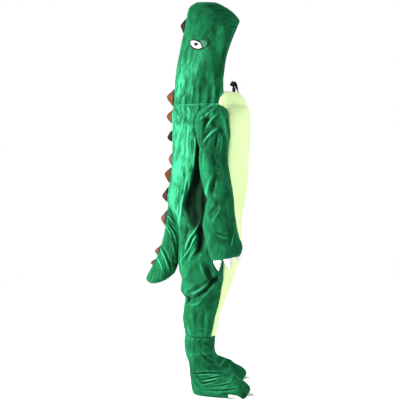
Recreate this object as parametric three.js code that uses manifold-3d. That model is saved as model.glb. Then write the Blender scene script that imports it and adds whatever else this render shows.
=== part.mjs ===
// Hooded all-in-one costume of green plush: hood, back, belly, sleeves, foot covers, stuffed tail,
// felt spikes and claws, and a zip whose pull tab swings. It keeps the hollow form it has when worn.
// Millimetres, +Z up. The front faces -Y and the wearer's left is +X. The origin lies between the
// shoulders at the base of the neck, where the garment's weight is carried.
// In the tables, front and back are distances ahead of and behind that origin.
import * as THREE from 'three';
import { mergeVertices } from 'three/addons/utils/BufferGeometryUtils.js';
import Module from 'manifold-3d';

const wasm = await Module();
wasm.setup();

// Cloth, seams and main levels
const PLUSH = 3;
const SEAM = 0.3;
const HALF_SEAM = SEAM / 2;
const SEAT_GAP = 0.6;
const SEAT_DEPTH = 1.5;
const CLEARANCE_DEPTH = 9;
const NECKLINE = 33;
const NECK = -22;
const SHIN = -1015;
const FLOOR = -1275;
const SQUARENESS = 2.3;

// Longest step between two rings of a mesh, and columns across each piece
const BODY_STEP = 44;
const BELLY_COLUMNS = 5;
const BACK_COLUMNS = 10;
const HOOD_COLUMNS = 9;
const SLEEVE_COLUMNS = 16;
const BOOT_COLUMNS = 14;
const TAIL_COLUMNS = 14;

// Millimetres round each piece for one degree of angle, used to measure folds
const BODY_ROUND = 3.2;
const SLEEVE_ROUND = 1.1;

function table(columns, rows) {
  return rows.map((row) => Object.fromEntries(columns.map((name, i) => [name, row[i]])));
}

// Body and legs, a row for each height. outer is the half width, inner the inside of the leg, or minus
// outer where the two halves share one round. border is the angle of the seam between belly and back.
const BODY = table(
  ['height', 'front', 'back', 'outer', 'inner', 'border'],
  [
    [-1015, 55, 77, 172, 38, 48],
    [-978, 66, 80, 175, 36, 48],
    [-940, 71, 86, 178, 32, 44],
    [-893, 86, 81, 181, 26, 45],
    [-858, 97, 77, 184, 20, 48],
    [-821, 111, 96, 189, 11, 51],
    [-775, 127, 92, 196, 0.5, 54],
    [-735, 143, 104, 202, -44, 58],
    [-690, 158, 108, 208, -105, 61],
    [-640, 168, 110, 211, -165, 62],
    [-580, 171, 113, 212, -212, 63],
    [-510, 172, 128, 209, -209, 64],
    [-440, 184, 157, 205, -205, 65],
    [-390, 191, 152, 202, -202, 66],
    [-340, 198, 141, 200, -200, 66],
    [-270, 199, 134, 200, -200, 66],
    [-190, 207, 131, 201, -201, 66],
    [-120, 209, 130, 197, -197, 66.5],
    [-80, 209, 130, 188, -188, 66.5],
    [-52, 205, 131, 170, -170, 68],
    [-35, 201, 131, 146, -146, 72],
    [NECK, 196, 130, 118, -118, 78],
    [6, 182, 127, 112, -112, 73],
    [NECKLINE, 163, 126, 110, -110, 62],
  ],
);

// Hood above the neckline, a row for each strip from its free front edge to the seam over the crown
const HOOD = table(
  ['crownBack', 'crownHeight', 'edgeFront', 'edgeHeight', 'halfWidth', 'edgeAngle'],
  [
    [123, 79, 88, 75, 108, 62],
    [117, 135, 93, 125, 108, 62],
    [106, 195, 102, 184, 110, 62],
    [94, 257, 114, 228, 110, 62],
    [82, 310, 123, 256, 106, 61],
    [73, 362, 131, 278, 98, 60],
    [62, 405, 137, 294, 87, 59],
    [17, 431, 144, 309, 73, 58],
    [-40, 431, 150, 322, 55, 57],
    [-90, 414, 155, 333, 38, 56],
    [-128, 390, 159, 341, 23, 56],
    [-152, 366, 162, 347, 11, 56],
  ],
);

// Left sleeve, a row for each ring: its outer and inner edge seen from the front, and its front and
// back edge seen from the side. rise lifts the ring's front above its back.
const SLEEVE = table(
  ['outer', 'outerHeight', 'inner', 'innerHeight', 'front', 'back', 'rise'],
  [
    [206, -36, 210, -201, 107, 30, 0],
    [246, -54, 213, -207, 111, 30, 0],
    [278, -90, 215, -215, 112, 28, 0],
    [298, -140, 216, -227, 109, 23, 0],
    [309, -200, 217, -246, 103, 15, 0],
    [316, -262, 218, -276, 103, 17, 0],
    [321, -318, 219, -320, 109, 13, 0],
    [327, -372, 221, -373, 118, 1, 0],
    [332, -432, 224, -432, 126, -14, 0],
    [338, -470, 226, -470, 128, -8, 0],
    [345, -530, 230, -530, 136, 2, 0],
    [349, -588, 233, -588, 149, -11, 2],
    [350, -622, 235, -622, 160, -19, 4],
    [348, -646, 237, -646, 158, -24, 8],
    [346, -664, 238, -664, 151, -36, 11],
  ],
);

// Armhole on the left half of the body, as an oval in angle and height
const ARMHOLE = { angle: 93.5, halfAngle: 23, height: -116, halfHeight: 78, reach: 9, past: 60 };

// Left foot cover, a row for each ring: its front and back point seen from the side. turn says how far
// the ring follows the foot as it points outwards.
const BOOT = table(
  ['front', 'frontHeight', 'back', 'backHeight', 'centre', 'halfWidth', 'turn'],
  [
    [55, SHIN, 77, SHIN, 105, 67, 0],
    [52, -1045, 80, -1043, 104, 64, 0],
    [50, -1080, 79, -1073, 103, 61, 0],
    [53, -1108, 70, -1105, 102, 58, 0.2],
    [58, -1132, 60, -1150, 101, 54, 0.5],
    [68, -1149, 55, -1205, 100, 52, 0.8],
    [86, -1158, 44, -1268, 100, 52, 1],
    [108, -1167, 0, -1288, 100, 54, 1],
    [131, -1180, -60, -1291, 100, 58, 1],
    [152, -1196, -112, -1290, 100, 60, 1],
    [173, -1208, -142, -1290, 100, 57, 1],
    [190, -1220, -164, -1287, 100, 48, 1],
    [200, -1232, -177, -1280, 100, 34, 1],
    [203, -1241, -184, -1270, 100, 18, 1],
  ],
);
const TOE_OUT = 0.21;
const TURN_FROM = -20;
const SOLE = 4.7;
const FOOT_CENTRE = 100;

// Block that cuts the foot cover level, wider and longer than the foot and reaching past its ends
const SLAB = { width: 400, depth: 600, past: 100 };

// Stuffed tail, a row for each ring: its top and bottom edge seen from the side, and half its width
const TAIL = table(
  ['top', 'topHeight', 'bottom', 'bottomHeight', 'halfWidth'],
  [
    [157, -474, 124, -758, 90],
    [161, -520, 132, -766, 87],
    [169, -568, 142, -775, 82],
    [180, -616, 154, -784, 74],
    [193, -660, 169, -793, 64],
    [208, -697, 186, -800, 53],
    [224, -728, 204, -805, 41],
    [238, -753, 220, -807, 29],
    [248, -773, 233, -805, 17],
    [252, -786, 242, -800, 8],
  ],
);
const TAIL_ROOT = { top: -455, bottom: -700, halfWidth: 88, calmAngle: 34, capRings: 3 };

// Largest folds. across and along are the ends of each fold's line; bow bends it sideways;
// depth is its height, minus for a trough. On body and sleeves across is an angle, along a height.
const BODY_FOLDS = table(
  ['across', 'along', 'toAcross', 'toAlong', 'bow', 'width', 'depth', 'side'],
  [
    [152, -862, 66, -760, 14, 17, -13, 1],
    [150, -860, 70, -768, 10, 17, -12, -1],
    [140, -832, 84, -778, 8, 22, 6, 0],
    [108, -190, 108, -545, 0, 30, -16, 0],
    [122, -300, 127, -540, 0, 14, 5, 0],
    [150, -200, 146, -480, 0, 30, 5, 0],
    [104, -520, 150, -672, -16, 20, 7, 1],
    [106, -540, 148, -664, -10, 20, 6, -1],
    [122, -610, 140, -712, 12, 16, -8, 1],
    [40, -560, 88, -650, 0, 26, -5, 0],
    [20, -720, 60, -690, 8, 22, -5, 1],
    [24, -728, 62, -706, 6, 22, -4, -1],
    [180, -60, 176, -330, 0, 26, 3, 0],
  ],
);
const SLEEVE_FOLDS = table(
  ['across', 'along', 'toAcross', 'toAlong', 'bow', 'width', 'depth', 'side'],
  [
    [60, -70, 30, -205, 0, 15, 6, 0],
    [100, -60, 160, -200, 0, 14, 5, 1],
    [96, -80, 150, -215, 0, 14, 4, -1],
    [120, -80, 60, -150, 0, 12, -4, 0],
    [150, -225, 120, -310, 0, 30, 7, 1],
    [140, -240, 110, -330, 0, 30, 6, -1],
    [200, -430, 90, -446, 6, 15, -8, 1],
    [200, -420, 80, -440, 6, 15, -7, -1],
    [120, -330, 150, -420, 0, 18, 5, 0],
    [20, -560, 120, -600, 10, 18, -4, 0],
  ],
);

// Felt spikes down the centre back seam: the height of each root's ends, how far the tip stands out,
// its height, and how far it leans to the left
const SPIKE = { rootThick: 4.6, tipThick: 2.6, tipRound: 3.2, rings: 3 };
const SPIKES = table(
  ['rootTop', 'rootBottom', 'tipOut', 'tipHeight', 'lean'],
  [
    [361, 294, 20, 329, 0],
    [52, -26, 33, 17, 0],
    [-35, -109, 30, -68, 8],
    [-119, -184, 27, -163, -6],
    [-224, -290, 19, -255, 44],
    [-290, -365, 31, -321, 0],
    [-376, -448, 25, -420, 12],
    [-482, -552, 26, -520, 58],
    [-637, -682, 19, -664, 34],
    [-696, -726, 14, -718, 52],
  ],
);

// White felt claws. Hand claws hang from the left sleeve's hem at an angle round it.
const CLAW = { rings: 3, columns: 8, bulge: 1.5, tip: 0.06, droop: 0.12 };
const HAND_CLAWS = table(
  ['angle', 'halfWidth', 'halfThick', 'length', 'drift'],
  [
    [132, 24, 7.5, 42, 6],
    [83, 22, 7.5, 42, 8],
    [33, 22, 7, 24, 4],
  ],
);
// Foot claws stand out of the toes: place along and across the foot, height, width, length and heading
const FOOT_CLAWS = table(
  ['front', 'across', 'height', 'halfWidth', 'halfThick', 'length', 'heading'],
  [
    [116, 42, -1260, 17, 10, 62, 26],
    [164, 2, -1259, 17, 11, 62, 0],
    [142, -38, -1260, 16, 10, 62, -22],
  ],
);

// Eye patches, measured on the hood from the eye's centre: ahead of it and above it
const EYE = { row: 5.69, angle: 120, tilt: 23, columns: 14, lift: 0.9, corner: 0.42 };
const EYE_PARTS = table(
  ['name', 'ahead', 'above', 'halfLength', 'halfHeight', 'from', 'thick', 'pointed'],
  [
    ['eye_rim', 0, 0, 36, 18.5, 0, 0.9, 1],
    ['eye_white', 0, 0, 30, 13, 1.2, 0.9, 1],
    ['eye_pupil', 0, 1.5, 8.5, 6.5, 2.4, 0.7, 0],
    ['eye_lid', 25, 17, 18, 16, 0, 0.9, 0],
  ],
);

// Zip behind the centre front, and its free end, which leans back out of the neckline and twists
const ZIP = { width: 16, thick: 1.6, bottom: -600, steps: 16, behind: 1.5 };
const ZIP_END = table(
  ['front', 'height', 'twist'],
  [
    [173.5, 8, 0],
    [163.5, 24, 0],
    [156, 37, 4],
    [151.5, 53, 18],
    [146, 68, 40],
    [140, 77, 66],
    [134, 79, 88],
  ],
);
const SLIDER = { width: 18, height: 22, thick: 7, front: 130, middle: 74, tilt: 30 };
const BAIL = { radius: 1.3, span: 12, out: 4.7, lug: 2.2, height: 68, front: 136, sunk: 0.5 };
const PULL = { width: 15, neck: 7, length: 31, thick: 2.2, eye: 3.7, clearance: 0.5, corner: 4, sunk: 0.8 };

// Colours
const GREEN = 0x008c55;
const LIME = 0xd6f79a;
const BROWN = 0x6e3a20;
const WHITE = 0xe8e8e6;
const BLACK = 0x141414;
const PALE = 0x9fe0bd;
const METAL = 0x2a2828;

function plain(color, roughness, metalness = 0) {
  return new THREE.MeshStandardMaterial({ color, roughness, metalness });
}
const plush = plain(GREEN, 0.95);
const belly = plain(LIME, 0.95);
const felt = plain(BROWN, 1);
const whiteFelt = plain(WHITE, 1);
const blackPatch = plain(BLACK, 0.8);
const palePatch = plain(PALE, 0.8);
const darkMetal = plain(METAL, 0.4, 0.8);

const degrees = THREE.MathUtils.degToRad;
const lerp = THREE.MathUtils.lerp;

function garmentPoint(left, front, height) {
  return new THREE.Vector3(left, -front, height);
}

// Value of one column between the rows of a table. The curve is smooth and never swings past a row.
function follow(rows, column, at, key) {
  const place = (i) => (key ? rows[i][key] : i);
  const value = (i) => rows[i][column];
  const last = rows.length - 1;
  let i = 0;
  while (i < last - 1 && at > place(i + 1)) i += 1;
  const gap = (j) => place(j + 1) - place(j);
  const secant = (j) => (value(j + 1) - value(j)) / gap(j);
  const slope = (j) => {
    if (j === 0) return secant(0);
    if (j === last) return secant(last - 1);
    const before = secant(j - 1);
    const after = secant(j);
    if (before * after <= 0) return 0;
    const a = 2 * gap(j) + gap(j - 1);
    const b = gap(j) + 2 * gap(j - 1);
    return (a + b) / (a / before + b / after);
  };
  const t = THREE.MathUtils.clamp((at - place(i)) / gap(i), 0, 1);
  const rise = t * t * (3 - 2 * t);
  const bendIn = t * (1 - t) * (1 - t) * gap(i) * slope(i);
  const bendOut = t * t * (1 - t) * gap(i) * slope(i + 1);
  return lerp(value(i), value(i + 1), rise) + bendIn - bendOut;
}

// A round with slightly squared corners: how far the outline lies from its centre at an angle
function squared(angle) {
  const across = Math.abs(Math.sin(degrees(angle))) ** SQUARENESS;
  const ahead = Math.abs(Math.cos(degrees(angle))) ** SQUARENESS;
  return (across + ahead) ** (-1 / SQUARENESS);
}
const sideways = (angle) => squared(angle) * Math.sin(degrees(angle));
const forwards = (angle) => squared(angle) * Math.cos(degrees(angle));

// Height that folds add at a place: each fold is a soft ridge or trough along a bowed line
function foldHeight(folds, side, across, along, round) {
  let sum = 0;
  for (const fold of folds) {
    if (fold.side * side < 0) continue;
    const runX = (fold.toAcross - fold.across) * round;
    const runY = fold.toAlong - fold.along;
    const length = Math.hypot(runX, runY);
    const x = (across - fold.across) * round;
    const y = along - fold.along;
    const along01 = THREE.MathUtils.clamp((x * runX + y * runY) / length ** 2, 0, 1);
    const beyond = (x * runX + y * runY) / length - along01 * length;
    const beside = (x * runY - y * runX) / length - fold.bow * 4 * along01 * (1 - along01);
    sum += fold.depth * Math.exp(-(beyond ** 2 + beside ** 2) / fold.width ** 2);
  }
  return sum;
}

// Body section at a height: the centre of its round, its half sizes and the border angle
function bodySection(height) {
  const at = (column) => follow(BODY, column, height, 'height');
  const front = at('front');
  const back = at('back');
  const outer = at('outer');
  const inner = at('inner');
  return {
    centre: (outer + inner) / 2,
    halfWidth: (outer - inner) / 2,
    middle: (front - back) / 2,
    halfDepth: (front + back) / 2,
    border: at('border'),
  };
}

// Angle at which the section starts: at the centre front, or at the inside of a leg that stands free
function startAngle(section) {
  const wanted = (HALF_SEAM - section.centre) / section.halfWidth;
  if (wanted <= -1) return -90 + degreesFor(HALF_SEAM, section.halfDepth);
  let low = -90;
  let high = 90;
  for (let i = 0; i < 40; i += 1) {
    const mid = (low + high) / 2;
    if (sideways(mid) < wanted) low = mid;
    else high = mid;
  }
  return high;
}

function degreesFor(length, radius) {
  return THREE.MathUtils.radToDeg(length / radius);
}

function bodyBase(angle, height) {
  const s = bodySection(height);
  return garmentPoint(
    s.centre + s.halfWidth * sideways(angle),
    s.middle + s.halfDepth * forwards(angle),
    height,
  );
}

// Rows of the hood: the neck rows repeat the body's own sections, so the neck seam fits
const HOOD_ROWS = [NECK, 6, NECKLINE].map((height) => {
  const s = bodySection(height);
  return {
    crownBack: s.halfDepth - s.middle,
    crownHeight: height,
    edgeFront: s.middle + s.halfDepth * forwards(s.border),
    edgeHeight: height,
    halfWidth: s.halfWidth,
    edgeAngle: s.border,
  };
}).concat(HOOD);

function hoodSection(row) {
  const at = (column) => follow(HOOD_ROWS, column, row);
  const edgeAngle = at('edgeAngle');
  const edge = forwards(edgeAngle);
  const crownFront = -at('crownBack');
  const crownHeight = at('crownHeight');
  const middle = (at('edgeFront') + crownFront * edge) / (1 + edge);
  const middleHeight = (at('edgeHeight') + crownHeight * edge) / (1 + edge);
  return { edgeAngle, crownFront, crownHeight, middle, middleHeight, halfWidth: at('halfWidth') };
}

function hoodBase(angle, row) {
  const s = hoodSection(row);
  return garmentPoint(
    s.halfWidth * sideways(angle),
    s.middle - (s.crownFront - s.middle) * forwards(angle),
    s.middleHeight - (s.crownHeight - s.middleHeight) * forwards(angle),
  );
}

// Rings of the hood's mesh, in rows of its table: one ring a row, and two over the long sides. The
// first lies half a seam above the neck seam.
const HOOD_LEVELS = [HALF_SEAM / (6 - NECK), 1, 2, ...spread(3, 10, 14), 11, 12, 13, 14];

// Outward normal of a surface of two parameters, from the difference of near points
function normalOf(surface, u, v, stepU, stepV) {
  const du = surface(u + stepU, v).sub(surface(u - stepU, v));
  const dv = surface(u, v + stepV).sub(surface(u, v - stepV));
  return du.cross(dv).normalize();
}

function bodyNormal(angle, height) {
  const normal = normalOf(bodyBase, angle, height, 0.5, 2);
  if (Math.abs(height - NECK) < 1 || Math.abs(height - SHIN) < 1) normal.setZ(0).normalize();
  return normal;
}

function hoodNormal(angle, row) {
  const normal = normalOf(hoodBase, angle, row, 0.5, 0.02);
  if (row < 0.1) normal.setZ(0).normalize();
  return normal;
}

// Body surface with its folds, at a distance outwards. The centre seam keeps the halves apart.
function bodySurface(side, angle, height, out = 0) {
  const fold = foldHeight(BODY_FOLDS, side, angle, height, BODY_ROUND) * sewnFlat(angle, height);
  const point = bodyBase(angle, height).addScaledVector(bodyNormal(angle, height), fold + out);
  point.x = Math.max(point.x, HALF_SEAM);
  return point;
}

// Folds fade out round the armhole and the tail's root, which are sewn flat
function sewnFlat(angle, height) {
  const arm = Math.hypot(
    (angle - ARMHOLE.angle) / (ARMHOLE.halfAngle * 1.25),
    (height - ARMHOLE.height) / (ARMHOLE.halfHeight * 1.2),
  );
  const tail = Math.hypot(
    (angle - 180) / TAIL_ROOT.calmAngle,
    (2 * height - TAIL_ROOT.top - TAIL_ROOT.bottom) / (TAIL_ROOT.top - TAIL_ROOT.bottom),
  );
  return THREE.MathUtils.smoothstep(arm, 0.9, 1.3) * THREE.MathUtils.smoothstep(tail, 1, 1.3);
}

function hoodSurface(angle, row, out = 0) {
  const point = hoodBase(angle, row).addScaledVector(hoodNormal(angle, row), out);
  point.x = Math.max(point.x, HALF_SEAM);
  return point;
}

// Heights of a mesh's rings: each row of the body's table, with steps added where they lie far apart
function bodyLevels(top) {
  const marks = BODY.map((row) => row.height).filter((height) => height <= top);
  const levels = [marks[0]];
  for (let i = 1; i < marks.length; i += 1) {
    const count = Math.ceil((marks[i] - marks[i - 1]) / BODY_STEP);
    for (let k = 1; k <= count; k += 1) levels.push(lerp(marks[i - 1], marks[i], k / count));
  }
  return levels;
}

// Geometry from rings of points. Each list of rings is one skin; rings that close wrap round.
class Skins {
  constructor() {
    this.points = [];
    this.faces = [];
  }

  add(rings) {
    return rings.map((ring) => ring.map((point) => this.points.push(point) - 1));
  }

  // Quads between neighbouring rings of one skin
  join(rings, closed, flip = false) {
    for (let r = 1; r < rings.length; r += 1) {
      const count = rings[r].length;
      for (let c = 0; c < (closed ? count : count - 1); c += 1) {
        const d = (c + 1) % count;
        this.quad(rings[r - 1][c], rings[r - 1][d], rings[r][d], rings[r][c], flip);
      }
    }
  }

  quad(a, b, c, d, flip) {
    if (flip) this.faces.push([a, c, b], [a, d, c]);
    else this.faces.push([a, b, c], [a, c, d]);
  }

  fan(ring, centre, flip) {
    const hub = this.points.push(centre) - 1;
    ring.forEach((a, i) => {
      const b = ring[(i + 1) % ring.length];
      this.faces.push(flip ? [hub, b, a] : [hub, a, b]);
    });
  }

  // Closed geometry with its faces pointing out
  geometry() {
    const position = this.points.flatMap((p) => [p.x, p.y, p.z]);
    const index = this.faces.flat();
    const geometry = new THREE.BufferGeometry();
    geometry.setAttribute('position', new THREE.Float32BufferAttribute(position, 3));
    geometry.setIndex(index);
    if (volumeOf(geometry) < 0) {
      for (let i = 0; i < index.length; i += 3) [index[i], index[i + 1]] = [index[i + 1], index[i]];
      geometry.setIndex(index);
    }
    return geometry;
  }
}

function volumeOf(geometry) {
  const position = geometry.getAttribute('position');
  const index = geometry.getIndex();
  const corner = (i) => new THREE.Vector3().fromBufferAttribute(position, index.getX(i));
  let sum = 0;
  for (let i = 0; i < index.count; i += 3) sum += corner(i).dot(corner(i + 1).cross(corner(i + 2)));
  return sum / 6;
}

// An open panel of cloth: outer and inner skin, and the four cut edges between them
function panel(outer, inner) {
  const skins = new Skins();
  const a = skins.add(outer);
  const b = skins.add(inner);
  skins.join(a, false);
  skins.join(b, false, true);
  const column = (rings, i) => rings.map((ring) => ring.at(i));
  skins.join([b[0], a[0]], false);
  skins.join([a.at(-1), b.at(-1)], false);
  skins.join([column(a, 0), column(b, 0)], false);
  skins.join([column(a, -1), column(b, -1)], false, true);
  return skins;
}

// A tube of cloth, open at both ends or closed by a cap at its last ring
function tube(outer, inner, capped) {
  const skins = new Skins();
  const a = skins.add(outer);
  const b = skins.add(inner);
  skins.join(a, true);
  skins.join(b, true, true);
  skins.join([b[0], a[0]], true);
  if (capped) {
    skins.fan(a.at(-1), centreOf(outer.at(-1)), false);
    skins.fan(b.at(-1), centreOf(inner.at(-1)), true);
  } else {
    skins.join([a.at(-1), b.at(-1)], true);
  }
  return skins;
}

// A filled body between its first and last ring, closed over the middle of each or over a given hub
function filled(rings, hubs = [centreOf(rings[0]), centreOf(rings.at(-1))]) {
  const skins = new Skins();
  const a = skins.add(rings);
  skins.join(a, true);
  skins.fan(a[0], hubs[0], true);
  skins.fan(a.at(-1), hubs[1], false);
  return skins;
}

function centreOf(ring) {
  return ring.reduce((sum, p) => sum.add(p), new THREE.Vector3()).divideScalar(ring.length);
}

function toSolid(geometry) {
  const bare = geometry.clone();
  bare.deleteAttribute('normal');
  bare.deleteAttribute('uv');
  const merged = mergeVertices(bare, 1e-4);
  const vertProperties = new Float32Array(merged.getAttribute('position').array);
  const triVerts = new Uint32Array(merged.getIndex().array);
  return new wasm.Manifold(new wasm.Mesh({ numProp: 3, vertProperties, triVerts }));
}

function toGeometry(solid) {
  const mesh = solid.getMesh();
  const geometry = new THREE.BufferGeometry();
  const position = new THREE.BufferAttribute(new Float32Array(mesh.vertProperties), 3);
  geometry.setAttribute('position', position);
  geometry.setIndex(Array.from(mesh.triVerts));
  return geometry;
}

function cut(geometry, tool) {
  return toGeometry(toSolid(geometry).subtract(toSolid(tool)));
}

// The costume: one named mesh for each piece
const costume = new THREE.Group();
function add(name, geometry, material) {
  const mesh = new THREE.Mesh(geometry, material);
  mesh.name = name;
  costume.add(mesh);
}

function spread(from, to, count) {
  return Array.from({ length: count + 1 }, (_, i) => lerp(from, to, i / count));
}

function around(count) {
  return Array.from({ length: count }, (_, i) => (360 * i) / count);
}

// Rings of belly or back of one half: columns run between two seams of the section at each level
function bodyRings(side, top, topGap, columns, seams, out) {
  const levels = bodyLevels(top);
  levels[0] += HALF_SEAM;
  levels[levels.length - 1] -= topGap;
  return levels.map((height) => {
    const section = bodySection(height);
    const [from, to] = seams(section, startAngle(section));
    return spread(from, to, columns).map((angle) => bodySurface(side, angle, height, out));
  });
}

function backRings(side, out, topGap = HALF_SEAM) {
  return bodyRings(side, NECK, topGap, BACK_COLUMNS, backSeams, out);
}

function bellyRings(side, out) {
  return bodyRings(side, NECKLINE, 0, BELLY_COLUMNS, bellySeams, out);
}

function bellySeams(section, start) {
  return [start, section.border - degreesFor(HALF_SEAM, section.halfWidth)];
}

function backSeams(section, start) {
  return [section.border + degreesFor(HALF_SEAM, section.halfWidth), 180 - start];
}

// The armhole's edge on the body, moved in or out of its outline, and in or out of the cloth
function armholePoint(turn, margin, out) {
  const angle = ARMHOLE.angle
    - (ARMHOLE.halfAngle + margin / BODY_ROUND) * Math.cos(degrees(turn));
  const height = ARMHOLE.height + (ARMHOLE.halfHeight + margin) * Math.sin(degrees(turn));
  return bodyBase(angle, height).addScaledVector(bodyNormal(angle, height), out);
}

// Solid that cuts the armhole: straight out through the cloth, then on sideways past its bulge
function armholeTool() {
  const ring = (out, moved = 0) => around(SLEEVE_COLUMNS).map((turn) => {
    const point = armholePoint(turn, 0, out);
    point.x += moved;
    return point;
  });
  const { reach, past } = ARMHOLE;
  return filled([
    ring(-reach, -past), ring(-reach), ring(-PLUSH), ring(0), ring(reach), ring(reach, past),
  ]).geometry();
}

// Sleeve: row 0 to 1 passes through the armhole, then comes the table, its first row at 2
function sleeveBase(turn, row) {
  if (row < 1) return armholePoint(turn, -SEAM, lerp(-PLUSH, 0, row));
  if (row >= 2) return sleeveRing(turn, row - 2);
  return armholePoint(turn, -SEAM, 0).lerp(sleeveRing(turn, 0), row - 1);
}

function sleeveRing(turn, row) {
  const at = (column) => follow(SLEEVE, column, row);
  const across = sideways(turn);
  const ahead = forwards(turn);
  return garmentPoint(
    lerp(at('inner'), at('outer'), (1 + across) / 2),
    lerp(-at('back'), at('front'), (1 + ahead) / 2),
    lerp(at('innerHeight'), at('outerHeight'), (1 + across) / 2) + at('rise') * ahead,
  );
}

function sleeveSurface(side, turn, row, out = 0) {
  const point = sleeveBase(turn, row);
  const normal = normalOf(sleeveBase, turn, row, 0.5, 0.02).negate();
  const loose = THREE.MathUtils.smoothstep(row, 1, 2.5);
  const fold = foldHeight(SLEEVE_FOLDS, side, turn, point.z, SLEEVE_ROUND) * loose;
  return point.addScaledVector(normal, fold + out);
}

// Foot cover: rings that turn from level at the shin to upright at the toes
function bootBase(turn, row) {
  const at = (column) => follow(BOOT, column, row);
  const ahead = (1 + forwards(turn)) / 2;
  const front = lerp(-at('back'), at('front'), ahead);
  const turned = at('turn') * TOE_OUT * (front - TURN_FROM);
  return garmentPoint(
    at('centre') + at('halfWidth') * sideways(turn) + turned,
    front,
    lerp(at('backHeight'), at('frontHeight'), ahead) - (row === 0 ? HALF_SEAM : 0),
  );
}

function bootSurface(turn, row, out = 0) {
  const normal = normalOf(bootBase, turn, row, 0.5, 0.02).negate();
  if (row === 0) normal.setZ(0).normalize();
  return bootBase(turn, row).addScaledVector(normal, out);
}

function ringsOf(rows, columns, surface) {
  return rows.map((row) => around(columns).map((turn) => surface(turn, row)));
}

// Foot cover and sole: the cover is cut level above the floor, and the sole closes it below
function buildFoot(name, mirror) {
  const rows = spread(0, BOOT.length - 1, BOOT.length - 1);
  const skin = (out) => ringsOf(rows, BOOT_COLUMNS, (turn, row) => bootSurface(turn, row, out));
  const whole = filled(skin(0)).geometry();
  const slab = (top, bottom) => {
    const box = new THREE.BoxGeometry(SLAB.width, SLAB.depth, top - bottom);
    box.translate(FOOT_CENTRE, 0, (top + bottom) / 2);
    return box;
  };
  const lowest = FLOOR - SLAB.past;
  const wall = tube(skin(0), skin(-PLUSH), true).geometry();
  const cover = cut(wall, slab(FLOOR + SOLE + SEAM, lowest));
  const sole = cut(cut(whole, slab(FLOOR, lowest)), slab(SHIN + SLAB.past, FLOOR + SOLE));
  add(`boot_${name}`, flipTo(cover, mirror), plush);
  add(`sole_${name}`, flipTo(sole, mirror), plush);
  const clear = filled(skin(SEAM)).geometry();
  FOOT_CLAWS.forEach((claw, i) => {
    add(`foot_claw_${name}_${i + 1}`, flipTo(cut(footClaw(claw), clear), mirror), whiteFelt);
  });
}

// Mirrors a geometry to the right half
function flipTo(geometry, mirror) {
  if (!mirror) return geometry;
  const flipped = geometry.clone().scale(-1, 1, 1);
  const index = Array.from(flipped.getIndex().array);
  for (let i = 0; i < index.length; i += 3) [index[i], index[i + 1]] = [index[i + 1], index[i]];
  flipped.setIndex(index);
  return flipped;
}

// A soft pointed claw: its base ring shrinks along a straight line to a small round tip
function clawRings(base, tip) {
  const centre = centreOf(base);
  const shrink = (q) => lerp(1, CLAW.tip, q ** CLAW.bulge);
  return spread(0, 1, CLAW.rings).map((q) => {
    const middle = centre.clone().lerp(tip, q);
    return base.map((p) => p.clone().sub(centre).multiplyScalar(shrink(q)).add(middle));
  });
}

function footClaw(claw) {
  const heading = degrees(claw.heading) + Math.atan(TOE_OUT);
  const left = FOOT_CENTRE + TOE_OUT * (claw.front - TURN_FROM) + claw.across;
  const root = garmentPoint(left, claw.front, claw.height);
  const ahead = new THREE.Vector3(Math.sin(heading), -Math.cos(heading), -CLAW.droop).normalize();
  const beside = new THREE.Vector3(Math.cos(heading), Math.sin(heading), 0);
  const base = around(CLAW.columns).map((turn) => root.clone()
    .addScaledVector(beside, claw.halfWidth * Math.cos(degrees(turn)))
    .add(new THREE.Vector3(0, 0, claw.halfThick * Math.sin(degrees(turn)))));
  return filled(clawRings(base, root.clone().addScaledVector(ahead, claw.length))).geometry();
}

// Hand claws hang from the sleeve's hem, with their base ring made from the hem's own points
function handClaw(side, claw) {
  const hem = SLEEVE.length + 1;
  const base = around(CLAW.columns).map((turn) => {
    const along = claw.angle + (claw.halfWidth / SLEEVE_ROUND) * Math.cos(degrees(turn));
    const out = claw.halfThick * Math.sin(degrees(turn)) - PLUSH / 2;
    const point = sleeveSurface(side, along, hem, out);
    point.z = sleeveSurface(side, along, hem).z - SEAT_GAP;
    return point;
  });
  const tip = centreOf(base).add(new THREE.Vector3(0, -claw.drift, -claw.length));
  return filled(clawRings(base, tip)).geometry();
}

// Stuffed tail: its root lies on the seat, and its rings lean back and down to the tip
function tailRings() {
  const root = (scale) => around(TAIL_COLUMNS).map((turn) => seatPoint(
    TAIL_ROOT.halfWidth * scale * Math.sin(degrees(turn)),
    lerp(TAIL_ROOT.bottom, TAIL_ROOT.top, (1 + scale * Math.cos(degrees(turn))) / 2),
    -SEAT_DEPTH,
  ));
  const caps = spread(1 / TAIL_ROOT.capRings, 1, TAIL_ROOT.capRings - 1).map(root);
  const body = TAIL.map((row) => around(TAIL_COLUMNS).map((turn) => {
    const up = (1 + forwards(turn)) / 2;
    return garmentPoint(
      row.halfWidth * sideways(turn),
      -lerp(row.bottom, row.top, up),
      lerp(row.bottomHeight, row.topHeight, up),
    );
  }));
  return [...caps, ...body];
}

// The tail a seam's gap larger, by moving each ring's points out from the ring's middle
function tailClearance(rings) {
  const grown = rings.map((ring) => {
    const centre = centreOf(ring);
    return ring.map((p) => p.clone().addScaledVector(p.clone().sub(centre).normalize(), SEAM));
  });
  return filled(grown).geometry();
}

// A point of the back at a distance to the left and a height, moved out of the cloth
function seatPoint(left, height, out) {
  const section = bodySection(height);
  const wanted = (Math.max(Math.abs(left), HALF_SEAM) - section.centre) / section.halfWidth;
  let low = 90;
  let high = 270;
  for (let i = 0; i < 40; i += 1) {
    const mid = (low + high) / 2;
    if (sideways(mid) > wanted) low = mid;
    else high = mid;
  }
  const point = bodyBase(low, height).addScaledVector(bodyNormal(low, height), out);
  point.x = left;
  return point;
}

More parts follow.
